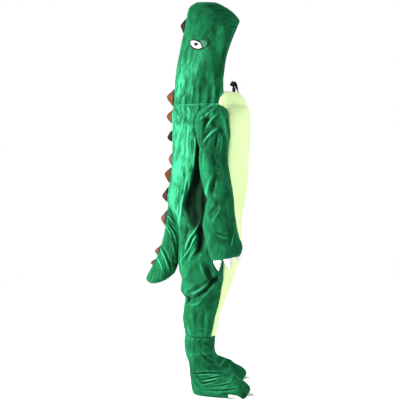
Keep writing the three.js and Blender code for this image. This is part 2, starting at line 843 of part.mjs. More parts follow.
// The line down the centre back that the spikes are sewn to: over the hood, the back and the tail
const TAIL_TOP = TAIL.slice().reverse();
function spine(height) {
  if (height < TAIL[0].topHeight) return -follow(TAIL_TOP, 'top', height, 'topHeight');
  if (height <= NECKLINE) return -follow(BODY, 'back', height, 'height');
  let low = 2;
  let high = 9;
  for (let i = 0; i < 40; i += 1) {
    const mid = (low + high) / 2;
    if (follow(HOOD_ROWS, 'crownHeight', mid) < height) low = mid;
    else high = mid;
  }
  return -follow(HOOD_ROWS, 'crownBack', low);
}
// A felt spike: rings of six points from its root, a little inside the spine, to its rounded tip
function spikeBody(spike) {
  const lean = degrees(spike.lean);
  const stand = -SEAT_DEPTH;
  const reach = spike.tipOut / Math.cos(lean);
  const places = [[0, 0], [0.3, 1], [0.7, 1], [1, 0], [0.7, -1], [0.3, -1]];
  const skin = spread(0, 1, SPIKE.rings).map((q) => places.map(([along, face]) => {
    const narrow = lerp(1, SPIKE.tipRound / (spike.rootTop - spike.rootBottom), q ** 0.9);
    const rootHeight = lerp(spike.rootTop, spike.rootBottom, along);
    const from = lerp(spine(rootHeight), spine(spike.tipHeight), q);
    const out = stand + (reach - stand) * q;
    const thick = (lerp(SPIKE.rootThick, SPIKE.tipThick, q) / 2) * face;
    return garmentPoint(
      out * Math.sin(lean) + thick * Math.cos(lean),
      from - out * Math.cos(lean) + thick * Math.sin(lean),
      spike.tipHeight + (rootHeight - spike.tipHeight) * narrow,
    );
  }));
  return filled(skin).geometry();
}

// A flat patch on the hood: an outline round its centre, lifted off the hood's own surface
function hoodPatch({ ahead, above, halfLength, halfHeight, from, thick, pointed }, grow = 0) {
  const perDegree = hoodBase(EYE.angle + 1, EYE.row).distanceTo(hoodBase(EYE.angle, EYE.row));
  const perRow = hoodBase(EYE.angle, EYE.row + 0.5).distanceTo(hoodBase(EYE.angle, EYE.row - 0.5));
  const tilt = degrees(EYE.tilt);
  const place = (x, y, out) => {
    const forward = x * Math.cos(tilt) + y * Math.sin(tilt);
    const up = y * Math.cos(tilt) - x * Math.sin(tilt);
    return hoodSurface(EYE.angle - forward / perDegree, EYE.row + up / perRow, out);
  };
  const ring = (scale, out) => around(EYE.columns).map((angle) => {
    const c = Math.cos(degrees(angle));
    const s = Math.sin(degrees(angle));
    const narrow = 1 - pointed * EYE.corner * c ** 4;
    const x = ahead + (halfLength + grow) * c * scale;
    return place(x, above + (halfHeight + grow) * s * narrow * scale, out);
  });
  const low = EYE.lift + from - grow * 2;
  const high = EYE.lift + from + thick + grow * 8;
  const hubs = [place(ahead, above, low), place(ahead, above, high)];
  return filled([ring(0.5, low), ring(1, low), ring(1, high), ring(0.5, high)], hubs).geometry();
}

function buildEye(name, mirror) {
  const material = { eye_white: whiteFelt, eye_lid: palePatch };
  for (const part of EYE_PARTS) {
    let patch = hoodPatch(part);
    if (part.name === 'eye_lid') patch = cut(patch, hoodPatch(EYE_PARTS[0], SEAM));
    add(`${part.name}_${name}`, flipTo(patch, mirror), material[part.name] ?? blackPatch);
  }
}

// Zip tape: straight down behind the centre front, and at the top the free end of the table
function buildZip() {
  const straight = (ZIP_END[0].height - ZIP.bottom) / ZIP.steps;
  const middles = spread(ZIP.bottom, ZIP_END[0].height - straight, ZIP.steps - 1).map((height) => ({
    front: follow(BODY, 'front', height, 'height') - PLUSH - ZIP.behind,
    height,
    twist: 0,
  }));
  middles.push(...ZIP_END);
  const sections = middles.map(({ front, height, twist }, i) => {
    const before = middles[Math.max(i - 1, 0)];
    const after = middles[Math.min(i + 1, middles.length - 1)];
    const run = garmentPoint(0, after.front - before.front, after.height - before.height).normalize();
    const wide = new THREE.Vector3(1, 0, 0).applyAxisAngle(run, degrees(twist));
    const deep = run.clone().cross(wide).negate();
    const corner = (a, b) => garmentPoint(0, front, height)
      .addScaledVector(wide, (a * ZIP.width) / 2)
      .addScaledVector(deep, -b * ZIP.thick);
    return [corner(-1, 0), corner(1, 0), corner(1, 1), corner(-1, 1)];
  });
  add('zip_tape', cut(filled(sections).geometry(), sliderBlock(SEAM)), blackPatch);
}

function sliderBlock(grow) {
  const sizes = [SLIDER.thick, SLIDER.width, SLIDER.height].map((size) => size + 2 * grow);
  return new THREE.BoxGeometry(...sizes).rotateX(degrees(SLIDER.tilt))
    .translate(0, -SLIDER.front, SLIDER.middle);
}

// Slider at the zip's free end, with a bail on its right face, and the pull tab that hangs from it
function buildSlider() {
  const body = sliderBlock(0);
  const face = -SLIDER.thick / 2;
  const axis = face - BAIL.out;
  const lugLength = BAIL.out + BAIL.radius + BAIL.sunk;
  const lug = (offset) => {
    const block = new THREE.BoxGeometry(lugLength, BAIL.lug, 2 * BAIL.lug);
    return block.translate(face + BAIL.sunk - lugLength / 2, offset - BAIL.front, BAIL.height);
  };
  const bar = new THREE.CylinderGeometry(BAIL.radius, BAIL.radius, BAIL.span, 16);
  bar.translate(axis, -BAIL.front, BAIL.height);
  const reach = (BAIL.span - BAIL.lug) / 2;
  const solid = [lug(-reach), lug(reach), bar].reduce(
    (sum, piece) => sum.add(toSolid(piece)),
    toSolid(body),
  );
  add('zip_slider', toGeometry(solid), darkMetal);

  const profile = new THREE.Shape().absarc(0, 0, PULL.eye, 0, Math.PI * 2);
  profile.holes.push(new THREE.Path().absarc(0, 0, BAIL.radius + PULL.clearance, 0, Math.PI * 2));
  const eye = new THREE.ExtrudeGeometry(profile, {
    depth: PULL.neck, bevelEnabled: false, curveSegments: 8,
  });
  eye.rotateX(Math.PI / 2).translate(axis, -BAIL.front + PULL.neck / 2, BAIL.height);
  const outline = new THREE.Shape();
  const { corner } = PULL;
  const half = PULL.width / 2;
  const neck = PULL.neck / 2;
  const top = PULL.sunk - PULL.eye;
  const bottom = -PULL.length;
  const shoulder = -PULL.eye - corner;
  outline.moveTo(-neck, top).lineTo(-neck, shoulder).lineTo(-half, shoulder - corner);
  outline.lineTo(-half, bottom + corner).lineTo(corner - half, bottom);
  outline.lineTo(half - corner, bottom).lineTo(half, bottom + corner);
  outline.lineTo(half, shoulder - corner).lineTo(neck, shoulder).lineTo(neck, top);
  const tab = new THREE.ExtrudeGeometry(outline, { depth: PULL.thick, bevelEnabled: false });
  tab.rotateX(Math.PI / 2).rotateZ(Math.PI / 2);
  tab.translate(axis - PULL.thick / 2, -BAIL.front, BAIL.height);
  add('zip_pull', toGeometry(toSolid(eye).add(toSolid(tab))), darkMetal);
}

function hoodRings(out) {
  return HOOD_LEVELS.map((row) => {
    const section = hoodSection(row);
    const from = section.edgeAngle + degreesFor(HALF_SEAM, section.halfWidth);
    const to = 180 - degreesFor(HALF_SEAM, section.halfWidth);
    return spread(from, to, HOOD_COLUMNS).map((angle) => hoodSurface(angle, row, out));
  });
}

// What is sewn on the centre back is cut to fit: by back and hood, a seam's gap larger all over
function spineClearance() {
  const pastCentre = (rings) => rings.map((ring) => {
    ring.at(-1).x = -SEAM;
    return ring;
  });
  const thick = (rings) => panel(pastCentre(rings(SEAM)), pastCentre(rings(-CLEARANCE_DEPTH)));
  const pieces = [1, -1].flatMap((side) => [
    flipTo(thick((out) => backRings(side, out, -SEAM)).geometry(), side < 0),
    flipTo(thick(hoodRings).geometry(), side < 0),
  ]);
  return toGeometry(pieces.map(toSolid).reduce((sum, piece) => sum.add(piece)));
}

function buildSleeve(name, side) {
  const rows = spread(0, SLEEVE.length + 1, SLEEVE.length + 1);
  const skin = (out) => {
    const surface = (turn, row) => sleeveSurface(side, turn, row, out);
    return ringsOf(rows, SLEEVE_COLUMNS, surface);
  };
  const wall = tube(skin(0), skin(-PLUSH), false).geometry();
  add(`sleeve_${name}`, flipTo(wall, side < 0), plush);
  HAND_CLAWS.forEach((claw, i) => {
    add(`hand_claw_${name}_${i + 1}`, flipTo(handClaw(side, claw), side < 0), whiteFelt);
  });
}

for (const [name, side] of [['left', 1], ['right', -1]]) {
  const mirror = side < 0;
  const wall = (skin) => panel(skin(0), skin(-PLUSH)).geometry();
  add(`hood_${name}`, flipTo(wall(hoodRings), mirror), plush);
  const back = wall((out) => backRings(side, out));
  add(`back_${name}`, flipTo(cut(back, armholeTool()), mirror), plush);
  add(`belly_${name}`, flipTo(wall((out) => bellyRings(side, out)), mirror), belly);
  buildSleeve(name, side);
  buildFoot(name, mirror);
  buildEye(name, mirror);
}
const clearance = spineClearance();
const tail = tailRings();
add('tail', cut(filled(tail).geometry(), clearance), plush);
SPIKES.forEach((spike, i) => {
  const name = `spike_${String(i + 1).padStart(2, '0')}`;
  add(name, cut(cut(spikeBody(spike), clearance), tailClearance(tail)), felt);
});
buildZip();
buildSlider();

export default costume;
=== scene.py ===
import math

import bmesh
import bpy
import numpy as np
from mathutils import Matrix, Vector


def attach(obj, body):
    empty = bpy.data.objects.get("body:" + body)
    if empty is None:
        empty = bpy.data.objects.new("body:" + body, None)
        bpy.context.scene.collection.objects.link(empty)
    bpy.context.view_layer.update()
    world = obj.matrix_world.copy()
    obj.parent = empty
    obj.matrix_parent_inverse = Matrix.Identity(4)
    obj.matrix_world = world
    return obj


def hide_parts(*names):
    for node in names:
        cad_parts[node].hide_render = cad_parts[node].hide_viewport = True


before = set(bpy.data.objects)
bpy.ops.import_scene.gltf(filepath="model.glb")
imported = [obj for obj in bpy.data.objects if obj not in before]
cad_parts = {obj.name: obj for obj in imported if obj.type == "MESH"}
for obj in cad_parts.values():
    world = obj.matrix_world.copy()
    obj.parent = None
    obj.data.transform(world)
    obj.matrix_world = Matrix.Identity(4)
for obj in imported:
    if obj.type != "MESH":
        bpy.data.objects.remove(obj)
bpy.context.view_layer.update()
print("frame loaded:", len(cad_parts), "nodes")

# Shapes are worked out in millimetres with +Z up, the front towards -Y and the garment's left side
# towards +X. In the tables, front and back are distances ahead of and behind the origin.
mm = 0.001
plushThick = 3.0
halfSeam = 0.15
neckline, neck, shin, floorLevel = 33.0, -22.0, -1015.0, -1275.0
squareness = 2.3
bodyRound, sleeveRound, hoodRound = 3.2, 1.1, 1.8   # millimetres round a piece for one degree

# Tables and curves


def table(columns, rows):
    return dict(zip(columns.split(), np.array(rows, dtype=float).T))


def follow(rows, column, at, key=None):
    # Smooth cubic through a table's rows, with harmonic-mean slopes so that it never swings past one
    value = rows[column]
    stations = rows[key] if key else np.arange(len(value), dtype=float)
    gap = np.diff(stations)
    secant = np.diff(value) / gap
    slope = np.zeros(len(value))
    slope[0], slope[-1] = secant[0], secant[-1]
    before, after = secant[:-1], secant[1:]
    a, b = 2 * gap[1:] + gap[:-1], gap[1:] + 2 * gap[:-1]
    same = before * after > 0
    inner = np.zeros(len(value) - 2)
    inner[same] = (a + b)[same] / (a[same] / before[same] + b[same] / after[same])
    slope[1:-1] = inner
    at = np.asarray(at, dtype=float)
    i = np.clip(np.searchsorted(stations, at) - 1, 0, len(gap) - 1)
    t = np.clip((at - stations[i]) / gap[i], 0, 1)
    bend = t * (1 - t) * gap[i] * ((1 - t) * slope[i] - t * slope[i + 1])
    return value[i] + (value[i + 1] - value[i]) * t * t * (3 - 2 * t) + bend


def followAll(rows, columns, at, key=None):
    return [follow(rows, column, at, key) for column in columns.split()]


def valuesOf(rows, columns, index):
    return [float(rows[column][index]) for column in columns.split()]


def smoothStep(x, low, high):
    # 0 at low and 1 at high, t^2 (3 - 2 t) between them, whichever of them is the larger
    t = np.clip((x - low) / (high - low), 0, 1)
    return t * t * (3 - 2 * t)


def squared(angle):
    # Round with slightly squared corners: (|sin|^n + |cos|^n)^(-1/n) from its centre at an angle
    across = np.abs(np.sin(np.radians(angle))) ** squareness
    ahead = np.abs(np.cos(np.radians(angle))) ** squareness
    return (across + ahead) ** (-1 / squareness)


def sideways(angle):
    return squared(angle) * np.sin(np.radians(angle))


def forwards(angle):
    return squared(angle) * np.cos(np.radians(angle))


def angleAcross(across):
    # Angle in the front half whose sideways value is the one given: tan^n = s^n / (1 - s^n)
    power = np.clip(np.abs(across), 0, 0.999999) ** squareness
    return np.sign(across) * np.degrees(np.arctan((power / (1 - power)) ** (1 / squareness)))


def place(left, front, height):
    return np.stack(np.broadcast_arrays(left, -np.asarray(front), height), axis=-1)


def mix(a, b, t):
    return a + (b - a) * t


def normalOf(surface, angle, row, rowStep=0.02, angleStep=0.5):
    # Cross product of the two differences of near points, made one long
    du = surface(angle + angleStep, row) - surface(angle - angleStep, row)
    dv = surface(angle, row + rowStep) - surface(angle, row - rowStep)
    normal = np.cross(du, dv)
    return normal / np.maximum(np.linalg.norm(normal, axis=-1, keepdims=True), 1e-9)


def levelled(normal, where):
    # Laid level where asked, so that two pieces meet at the seam between them
    flat = np.where(where[..., None], normal * np.array([1.0, 1.0, 0.0]), normal)
    return flat / np.linalg.norm(flat, axis=-1, keepdims=True)


def foldHeight(folds, side, across, along, roundness, taper=False):
    # Sum of soft ridges and troughs: depth * exp(-(distance from a bowed line / width)^2), and with
    # taper also * (4 t (1 - t))^0.9, so that a crease dies away at both of its ends
    total = np.zeros(np.broadcast(across, along).shape)
    for across0, along0, across1, along1, bow, width, depth, *only in folds:
        if only and only[0] != side:
            continue
        runX, runY = (across1 - across0) * roundness, along1 - along0
        length = math.hypot(runX, runY)
        x, y = (across - across0) * roundness, along - along0
        t = np.clip((x * runX + y * runY) / length ** 2, 0, 1)
        beyond = (x * runX + y * runY) / length - t * length
        beside = (x * runY - y * runX) / length - bow * 4 * t * (1 - t)
        height = depth * (4 * t * (1 - t)) ** 0.9 if taper else depth
        total += height * np.exp(-(beyond ** 2 + beside ** 2) / width ** 2)
    return total


def sideCreases(rows, side, grid):
    # Creases laid out in side view, by distance ahead and height. The far side's are bent out of
    # line and a little shallower, so that the two sides aren't alike.
    ahead, height, strength = -grid[..., 1], grid[..., 2], 1.15
    if side > 0:
        height = height + 17 * np.sin(ahead / 37) - 11
        ahead = ahead + 9 * np.sin(height / 61)
        strength = 1.0
    return strength * foldHeight(rows, side, ahead, height, 1.0, True)


def seamDip(distance, depth=2.4, width=4.5):
    # A soft groove along a seam: -depth * exp(-(distance / width)^2)
    return -depth * np.exp(-(distance / width) ** 2)


def puckers(distance, along, depth=0.8, reach=15.0, pitch=21.0):
    # Small gathers beside a seam: a sine along it of uneven pitch, fading away from the seam
    wave = np.sin(2 * np.pi * along / pitch + 1.9 * np.sin(along / 43.0) + np.sin(along / 17.0))
    return depth * wave * np.exp(-(distance / reach) ** 2)


def unevenness(across, along, seed, depth=1.5):
    # Loose cloth is never true: three long waves that cross at odd angles
    a = np.sin(across / 31.0 + along / 97.0 + seed)
    b = np.sin(across / 53.0 - along / 71.0 + 2.3 * seed)
    c = np.sin(across / 19.0 + along / 131.0 + 0.7 * seed)
    return depth * (0.45 * a + 0.4 * b + 0.25 * c)


def crumple(across, along, seed, depth=1.3):
    # Crushed pile: thin wavering ridges along the nap, 1 - |sin| of a warped phase, broken up along it
    warp = 1.3 * np.sin(along / 23.0 + seed) + 0.8 * np.sin(along / 11.5 + across / 15.0 + 2 * seed)
    ridge = 1 - np.abs(np.sin(across / 5.5 + warp)) ** 0.7
    gate = 0.5 + 0.5 * np.sin(along / 17.0 + 1.7 * np.sin(across / 9.0 + seed))
    return depth * (ridge * gate - 0.25)


# Meshes


def gridFaces(rows, columns):
    index = np.arange(rows * columns).reshape(rows, columns)
    corners = [index[:-1, :-1], index[:-1, 1:], index[1:, 1:], index[1:, :-1]]
    return np.stack(corners, axis=-1).reshape(-1, 4)


def newMesh(name, points, faces, uv=None, masks=None, weld=0.0):
    used, faces = np.unique(faces, return_inverse=True)
    faces = faces.reshape(-1, 4)
    mesh = bpy.data.meshes.new(name)
    mesh.vertices.add(len(used))
    mesh.vertices.foreach_set("co", (points[used] * mm).ravel())
    mesh.loops.add(faces.size)
    mesh.loops.foreach_set("vertex_index", faces.ravel().astype(np.int32))
    mesh.polygons.add(len(faces))
    mesh.polygons.foreach_set("loop_start", np.arange(0, faces.size, 4, dtype=np.int32))
    mesh.polygons.foreach_set("use_smooth", np.ones(len(faces), dtype=bool))
    if uv is not None:
        layer = mesh.uv_layers.new(name="cloth")
        layer.uv.foreach_set("vector", (uv[used][faces.ravel()] * mm).ravel())
    for label, values in (masks or {}).items():
        layer = mesh.attributes.new(label, "FLOAT", "POINT")
        layer.data.foreach_set("value", values[used].astype(np.float32))
    mesh.update(calc_edges=True)
    if weld:
        work = bmesh.new()
        work.from_mesh(mesh)
        bmesh.ops.remove_doubles(work, verts=work.verts, dist=weld * mm)
        work.to_mesh(mesh)
        work.free()
    mesh.validate()
    piece = bpy.data.objects.new(name, mesh)
    bpy.context.collection.objects.link(piece)
    return piece


def newGrid(name, grid, flip=False, side=1, uv=None, masks=None, keep=None, weld=0.0):
    # A grid of points as a mesh; keep says which points a face needs at least one of
    rows, columns = grid.shape[:2]
    faces = gridFaces(rows, columns)
    if keep is not None:
        faces = faces[keep.ravel()[faces].any(axis=1)]
    if flip != (side < 0):
        faces = faces[:, ::-1]
    points = grid.reshape(-1, 3) * np.array([side, 1.0, 1.0])
    uv = None if uv is None else uv.reshape(-1, 2)
    masks = {label: values.ravel() for label, values in (masks or {}).items()}
    return newMesh(name, points, faces, uv, masks, weld)


def faceOutwards(piece):
    work = bmesh.new()
    work.from_mesh(piece.data)
    bmesh.ops.recalc_face_normals(work, faces=work.faces)
    work.to_mesh(piece.data)
    work.free()


def lengthsOf(grid):
    across = np.linalg.norm(np.diff(grid, axis=1), axis=-1)
    along = np.linalg.norm(np.diff(grid, axis=0), axis=-1)
    return across, along


def runningLengths(grid):
    # Distances over the cloth, from its first column and from its first row
    across, along = lengthsOf(grid)
    fromSide = np.concatenate([np.zeros((len(grid), 1)), np.cumsum(across, axis=1)], axis=1)
    fromTop = np.concatenate([np.zeros((1, grid.shape[1])), np.cumsum(along, axis=0)], axis=0)
    return fromSide, fromTop


def capped(grid):
    # A tube of rings closed at both ends, each by a ring drawn together in its middle
    first, last = (ring.mean(axis=1, keepdims=True) + 0 * ring for ring in (grid[:1], grid[-1:]))
    return np.concatenate([first, grid, last])


def joinedRound(grid):
    # The first and last column of a tube are the same line of points
    grid[:, -1] = grid[:, 0] = (grid[:, 0] + grid[:, -1]) / 2
    return grid


def crestOf(grid, relief, shortest=1.5):
    # How sharply the cloth folds: the relief's second difference over the distance squared, with its
    # sign turned, so that a crest is above nought and a groove below it
    across, along = (np.maximum(length, shortest) for length in lengthsOf(grid))
    crest = np.zeros(relief.shape)
    slope = np.diff(relief, axis=1) / across
    crest[:, 1:-1] -= 2 * np.diff(slope, axis=1) / (across[:, 1:] + across[:, :-1])
    slope = np.diff(relief, axis=0) / along
    crest[1:-1] -= 2 * np.diff(slope, axis=0) / (along[1:] + along[:-1])
    return crest


def clothMasks(grid, relief, brushedAndPaintedLight=0.0):
    # What the plush reads: its folds, their crests, and a mask of painted light that makes the back paler
    return {"relief": relief, "crest": crestOf(grid, relief), "brushedAndPaintedLight": brushedAndPaintedLight + 0 * relief}


def clothUv(grid):
    # Distances over the cloth itself, each row counted from its middle
    u, fromTop = runningLengths(grid)
    v = np.broadcast_to(fromTop.mean(axis=1, keepdims=True), u.shape)
    return np.stack([u - u.mean(axis=1, keepdims=True), v], axis=-1)


def finish(piece, material, slotName, *nodes):
    piece.data.materials.append(material)
    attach(piece, "garment")
    if nodes:
        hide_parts(*nodes)


def closedPiece(name, grid, material, slotName, *nodes, side=1, uv=None, masks=None, weld=0.02):
    # A closed form: its points are welded where they meet, and its faces turned outwards
    piece = newGrid(name, grid, False, side, uv, masks, None, weld)
    faceOutwards(piece)
    finish(piece, material, slotName, *nodes)
    return piece


def clothPiece(name, grid, material, slotName, flip, side, relief, keep=None, weld=0.0,
               brushedAndPaintedLight=0.0):
    # A thin cloth shell: the grid is its outer face, and the wall grows inwards from it
    piece = newGrid(f"{name}_plush", grid, flip, side, clothUv(grid),
                    clothMasks(grid, relief, brushedAndPaintedLight), keep, weld)
    wall = piece.modifiers.new("wall", "SOLIDIFY")
    wall.thickness, wall.offset = plushThick * mm, -1
    finish(piece, material, slotName, name)


# Materials


def newGroup(name, inputs, outputs):
    # Inputs by name with their value, a vector where there is none. All the outputs are numbers.
    group = bpy.data.node_groups.new(name, "ShaderNodeTree")
    for label, value in inputs.items():
        kind = "NodeSocketVector" if value is None else "NodeSocketFloat"
        socket = group.interface.new_socket(label, in_out="INPUT", socket_type=kind)
        if value is not None:
            socket.default_value = value
    for label in outputs:
        group.interface.new_socket(label, in_out="OUTPUT", socket_type="NodeSocketFloat")
    return group, group.nodes.new("NodeGroupInput"), group.nodes.new("NodeGroupOutput")


def connect(tree, socket, value):
    # A socket takes another node's output as a link, or a plain value
    if isinstance(value, bpy.types.NodeSocket):
        tree.links.new(value, socket)
    else:
        socket.default_value = value


def addNode(tree, kind, settings=None, **values):
    node = tree.nodes.new(kind)
    for key, value in (settings or {}).items():
        setattr(node, key, value)
    for key, value in values.items():
        connect(tree, node.inputs[key.replace("_", " ")], value)
    return node


def mathNode(tree, operation, a, b, clamp=False):
    node = tree.nodes.new("ShaderNodeMath")
    node.operation, node.use_clamp = operation, clamp
    connect(tree, node.inputs[0], a)
    connect(tree, node.inputs[1], b)
    return node.outputs[0]


def times(tree, a, b):
    return mathNode(tree, "MULTIPLY", a, b)


def rangeNode(tree, value, low, high, toLow=0.0, toHigh=1.0):
    node = tree.nodes.new("ShaderNodeMapRange")
    node.interpolation_type = "SMOOTHSTEP"
    tree.links.new(value, node.inputs["Value"])
    for key, number in (("From Min", low), ("From Max", high), ("To Min", toLow), ("To Max", toHigh)):
        node.inputs[key].default_value = number
    return node.outputs["Result"]


def colourMix(tree, factor, a, b):
    node = tree.nodes.new("ShaderNodeMix")
    node.data_type = "RGBA"
    for key, value in (("Factor", factor), (6, a), (7, b)):
        connect(tree, node.inputs[key], value)
    return node.outputs[2]


def maskNode(tree, label):
    return addNode(tree, "ShaderNodeAttribute", {"attribute_name": label}).outputs["Fac"]


def darker(colour, share):
    return tuple(c * share for c in colour[:3]) + (1.0,)


def makeNapGroup():
    # Brushed pile: wide blotches where the pile leans another way, fine streaks along it, and tufts.
    # Lean and Tuft come out as masks from 0 to 1, Height for a bump.
    group, source, target = newGroup(
        "brushed nap",
        {"Vector": None, "Blotch Scale": 9.0, "Streak Scale": 60.0, "Tuft Scale": 420.0},
        ["Lean", "Tuft", "Height"])
    vector = source.outputs["Vector"]
    stretched = addNode(group, "ShaderNodeMapping", Vector=vector, Scale=(1.0, 0.28, 1.0))
    blotch = addNode(group, "ShaderNodeTexNoise", Vector=vector, Detail=3.0, Roughness=0.55,
                     Distortion=0.6, Scale=source.outputs["Blotch Scale"])
    streak = addNode(group, "ShaderNodeTexNoise", Vector=stretched.outputs[0], Detail=4.0,
                     Roughness=0.62, Scale=source.outputs["Streak Scale"])
    tuft = addNode(group, "ShaderNodeTexNoise", Vector=stretched.outputs[0], Detail=2.0,
                   Roughness=0.7, Scale=source.outputs["Tuft Scale"])
    lean = times(group, rangeNode(group, blotch.outputs[0], 0.3, 0.7), 0.42)
    fine = times(group, rangeNode(group, streak.outputs[0], 0.34, 0.68), 0.4)
    group.links.new(mathNode(group, "ADD", lean, fine), target.inputs["Lean"])
    group.links.new(rangeNode(group, tuft.outputs[0], 0.3, 0.7), target.inputs["Tuft"])
    low, high = times(group, streak.outputs[0], 0.55), times(group, tuft.outputs[0], 0.45)
    group.links.new(mathNode(group, "ADD", low, high), target.inputs["Height"])
    return group


def makeFeltGroup():
    # Pressed felt: matted fibres as a twisted noise, and a mask of worn, paler spots
    group, source, target = newGroup(
        "felt grain", {"Vector": None, "Scale": 300.0}, ["Fibre", "Worn"])
    fibre = addNode(group, "ShaderNodeTexNoise", Vector=source.outputs["Vector"], Detail=5.0,
                    Roughness=0.75, Distortion=1.5, Scale=source.outputs["Scale"])
    wearAndPaintedShade = addNode(group, "ShaderNodeTexNoise", Vector=source.outputs["Vector"], Detail=2.0, Scale=45.0)
    group.links.new(rangeNode(group, fibre.outputs[0], 0.3, 0.7), target.inputs["Fibre"])
    group.links.new(rangeNode(group, wearAndPaintedShade.outputs[0], 0.42, 0.66), target.inputs["Worn"])
    return group


# Shares of the pale pile tips and of painted light and shade: a painted highlight on fold crests, painted
# light on the back, painted shade in grooves, and how dark the deepest painted shade is
pileAndPaintedLightShares = {"tips": 0.22, "paintedCrestHighlight": 0.7, "paintedBackLight": 0.52, "groove": 0.8, "deep": 0.22}
napGroup = makeNapGroup()
feltGroup = makeFeltGroup()


def newMaterial(name, **values):
    material = bpy.data.materials.new(name)
    material.use_nodes = True
    tree = material.node_tree
    shader = tree.nodes["Principled BSDF"]
    for key, value in values.items():
        shader.inputs[key.replace("_", " ")].default_value = value
    return material, tree, shader


def plushMaterial(name, dark, middle, pale, sheenTint, sheen, bump, depth):
    # Base colour: dark to middle by the way the pile leans, and lighter on raised folds by a painted
    # highlight;
    # pale at the pile's tips, with a painted highlight on the crests of folds and painted light on the back;
    # and darker by painted shade in the grooves and down in the hollows. Relief is in millimetres, crest per
    # millimetre, the painted-light mask from 0 to 1.
    material, tree, shader = newMaterial(name, Roughness=0.92, Specular_IOR_Level=0.12, Sheen_Weight=sheen,
                                         Sheen_Roughness=0.38, Sheen_Tint=sheenTint)
    uv = addNode(tree, "ShaderNodeUVMap", {"uv_map": "cloth"})
    nap = addNode(tree, "ShaderNodeGroup", {"node_tree": napGroup}, Vector=uv.outputs["UV"])
    relief, crest, brushedAndPaintedLight = (maskNode(tree, label) for label in ("relief", "crest", "brushedAndPaintedLight"))
    # Painted highlight: raised folds are made lighter
    lean = mathNode(tree, "ADD", nap.outputs["Lean"], rangeNode(tree, relief, 0.0, 9.0, 0.0, 0.4), clamp=True)
    tips = times(tree, times(tree, lean, nap.outputs["Tuft"]), pileAndPaintedLightShares["tips"])
    # Painted highlight on the crests of folds
    paintedCrestHighlight = times(tree, rangeNode(tree, crest, 0.0, 0.26), pileAndPaintedLightShares["paintedCrestHighlight"])
    # Painted light by the mask on the back, scaled by the pile's lean
    paintedBackLight = times(tree, rangeNode(tree, lean, 0.15, 0.85, 0.1, 1.0), brushedAndPaintedLight)
    lightened = mathNode(tree, "ADD", tips, times(tree, paintedBackLight, pileAndPaintedLightShares["paintedBackLight"]))
    paleMask = mathNode(tree, "ADD", lightened, paintedCrestHighlight, clamp=True)
    tipsAndPaintedLight = colourMix(tree, paleMask, colourMix(tree, lean, dark, middle), pale)
    # Painted shade down in the hollows and in the grooves, towards a darker copy of the dark tone
    hollow = times(tree, rangeNode(tree, relief, -13.0, -1.0, 1.0, 0.0), depth)
    groove = times(tree, rangeNode(tree, crest, -0.2, -0.015, 1.0, 0.0), depth * pileAndPaintedLightShares["groove"])
    darkMask = mathNode(tree, "MAXIMUM", hollow, groove)
    colour = colourMix(tree, darkMask, tipsAndPaintedLight, darker(dark, pileAndPaintedLightShares["deep"]))
    tree.links.new(colour, shader.inputs["Base Color"])
    raised = addNode(tree, "ShaderNodeBump", Height=nap.outputs["Height"], Strength=bump, Distance=0.0025)
    tree.links.new(raised.outputs[0], shader.inputs["Normal"])
    return material


def feltMaterial(name, dark, pale, grain=300.0, sheen=0.25, edgeMask=None):
    # Matted fibre between two tones, paler where it is worn, and darker by painted shade from a mask on the
    # piece
    material, tree, shader = newMaterial(name, Roughness=0.95, Specular_IOR_Level=0.15, Sheen_Weight=sheen,
                                         Sheen_Roughness=0.5)
    coords = addNode(tree, "ShaderNodeTexCoord")
    felt = addNode(tree, "ShaderNodeGroup", {"node_tree": feltGroup}, Vector=coords.outputs["Object"],
                   Scale=grain)
    fibres = colourMix(tree, felt.outputs["Fibre"], dark, pale)
    colour = colourMix(tree, times(tree, felt.outputs["Worn"], 0.35), fibres, pale)
    if edgeMask:
        # Painted shade from the piece's mask, towards a darker copy of the dark tone
        shaded = rangeNode(tree, maskNode(tree, edgeMask), 0.2, 1.0)
        colour = colourMix(tree, shaded, colour, darker(dark, 0.12))
    tree.links.new(colour, shader.inputs["Base Color"])
    raised = addNode(tree, "ShaderNodeBump", Height=felt.outputs["Fibre"], Strength=0.55, Distance=0.0008)
    tree.links.new(raised.outputs[0], shader.inputs["Normal"])
    return material


def metalMaterial():
    # Dark lacquered zinc: faint scuffs change its roughness and lighten it a little
    material, tree, shader = newMaterial("dark metal", Metallic=0.85)
    coords = addNode(tree, "ShaderNodeTexCoord")
    noise = addNode(tree, "ShaderNodeTexNoise", Vector=coords.outputs["Object"], Scale=240.0, Detail=6.0)
    scuff = noise.outputs[0]
    tree.links.new(rangeNode(tree, scuff, 0.3, 0.7, 0.26, 0.5), shader.inputs["Roughness"])
    colour = colourMix(tree, rangeNode(tree, scuff, 0.55, 0.8),
                       (0.022, 0.02, 0.021, 1), (0.09, 0.085, 0.085, 1))
    tree.links.new(colour, shader.inputs["Base Color"])
    return material


greenPlush = plushMaterial("green plush", (0.0, 0.034, 0.009, 1), (0.0, 0.135, 0.04, 1),
                           (0.06, 0.52, 0.26, 1), (0.1, 1.0, 0.5, 1), sheen=0.36, bump=0.6, depth=0.95)
limePlush = plushMaterial("lime plush", (0.72, 0.96, 0.42, 1), (0.82, 1.0, 0.54, 1),
                          (0.88, 1.0, 0.64, 1), (0.9, 1.0, 0.8, 1), sheen=0.2, bump=0.35, depth=0.25)
brownFelt = feltMaterial("brown felt", (0.07, 0.019, 0.008, 1), (0.26, 0.075, 0.028, 1), edgeMask="shaded")
whiteFelt = feltMaterial("white felt", (0.62, 0.62, 0.6, 1), (0.86, 0.86, 0.84, 1), grain=260.0)
blackStitch = feltMaterial("black stitching", (0.004, 0.004, 0.004, 1), (0.02, 0.02, 0.02, 1),
                           grain=700.0, sheen=0.1)
palePatch = feltMaterial("pale green patch", (0.006, 0.085, 0.045, 1), (0.06, 0.25, 0.15, 1), grain=400.0)
tapeWeave = feltMaterial("woven tape", (0.006, 0.006, 0.006, 1), (0.03, 0.029, 0.03, 1),
                         grain=900.0, sheen=0.1)
darkMetal = metalMaterial()
print("materials made")

# Body: belly and back

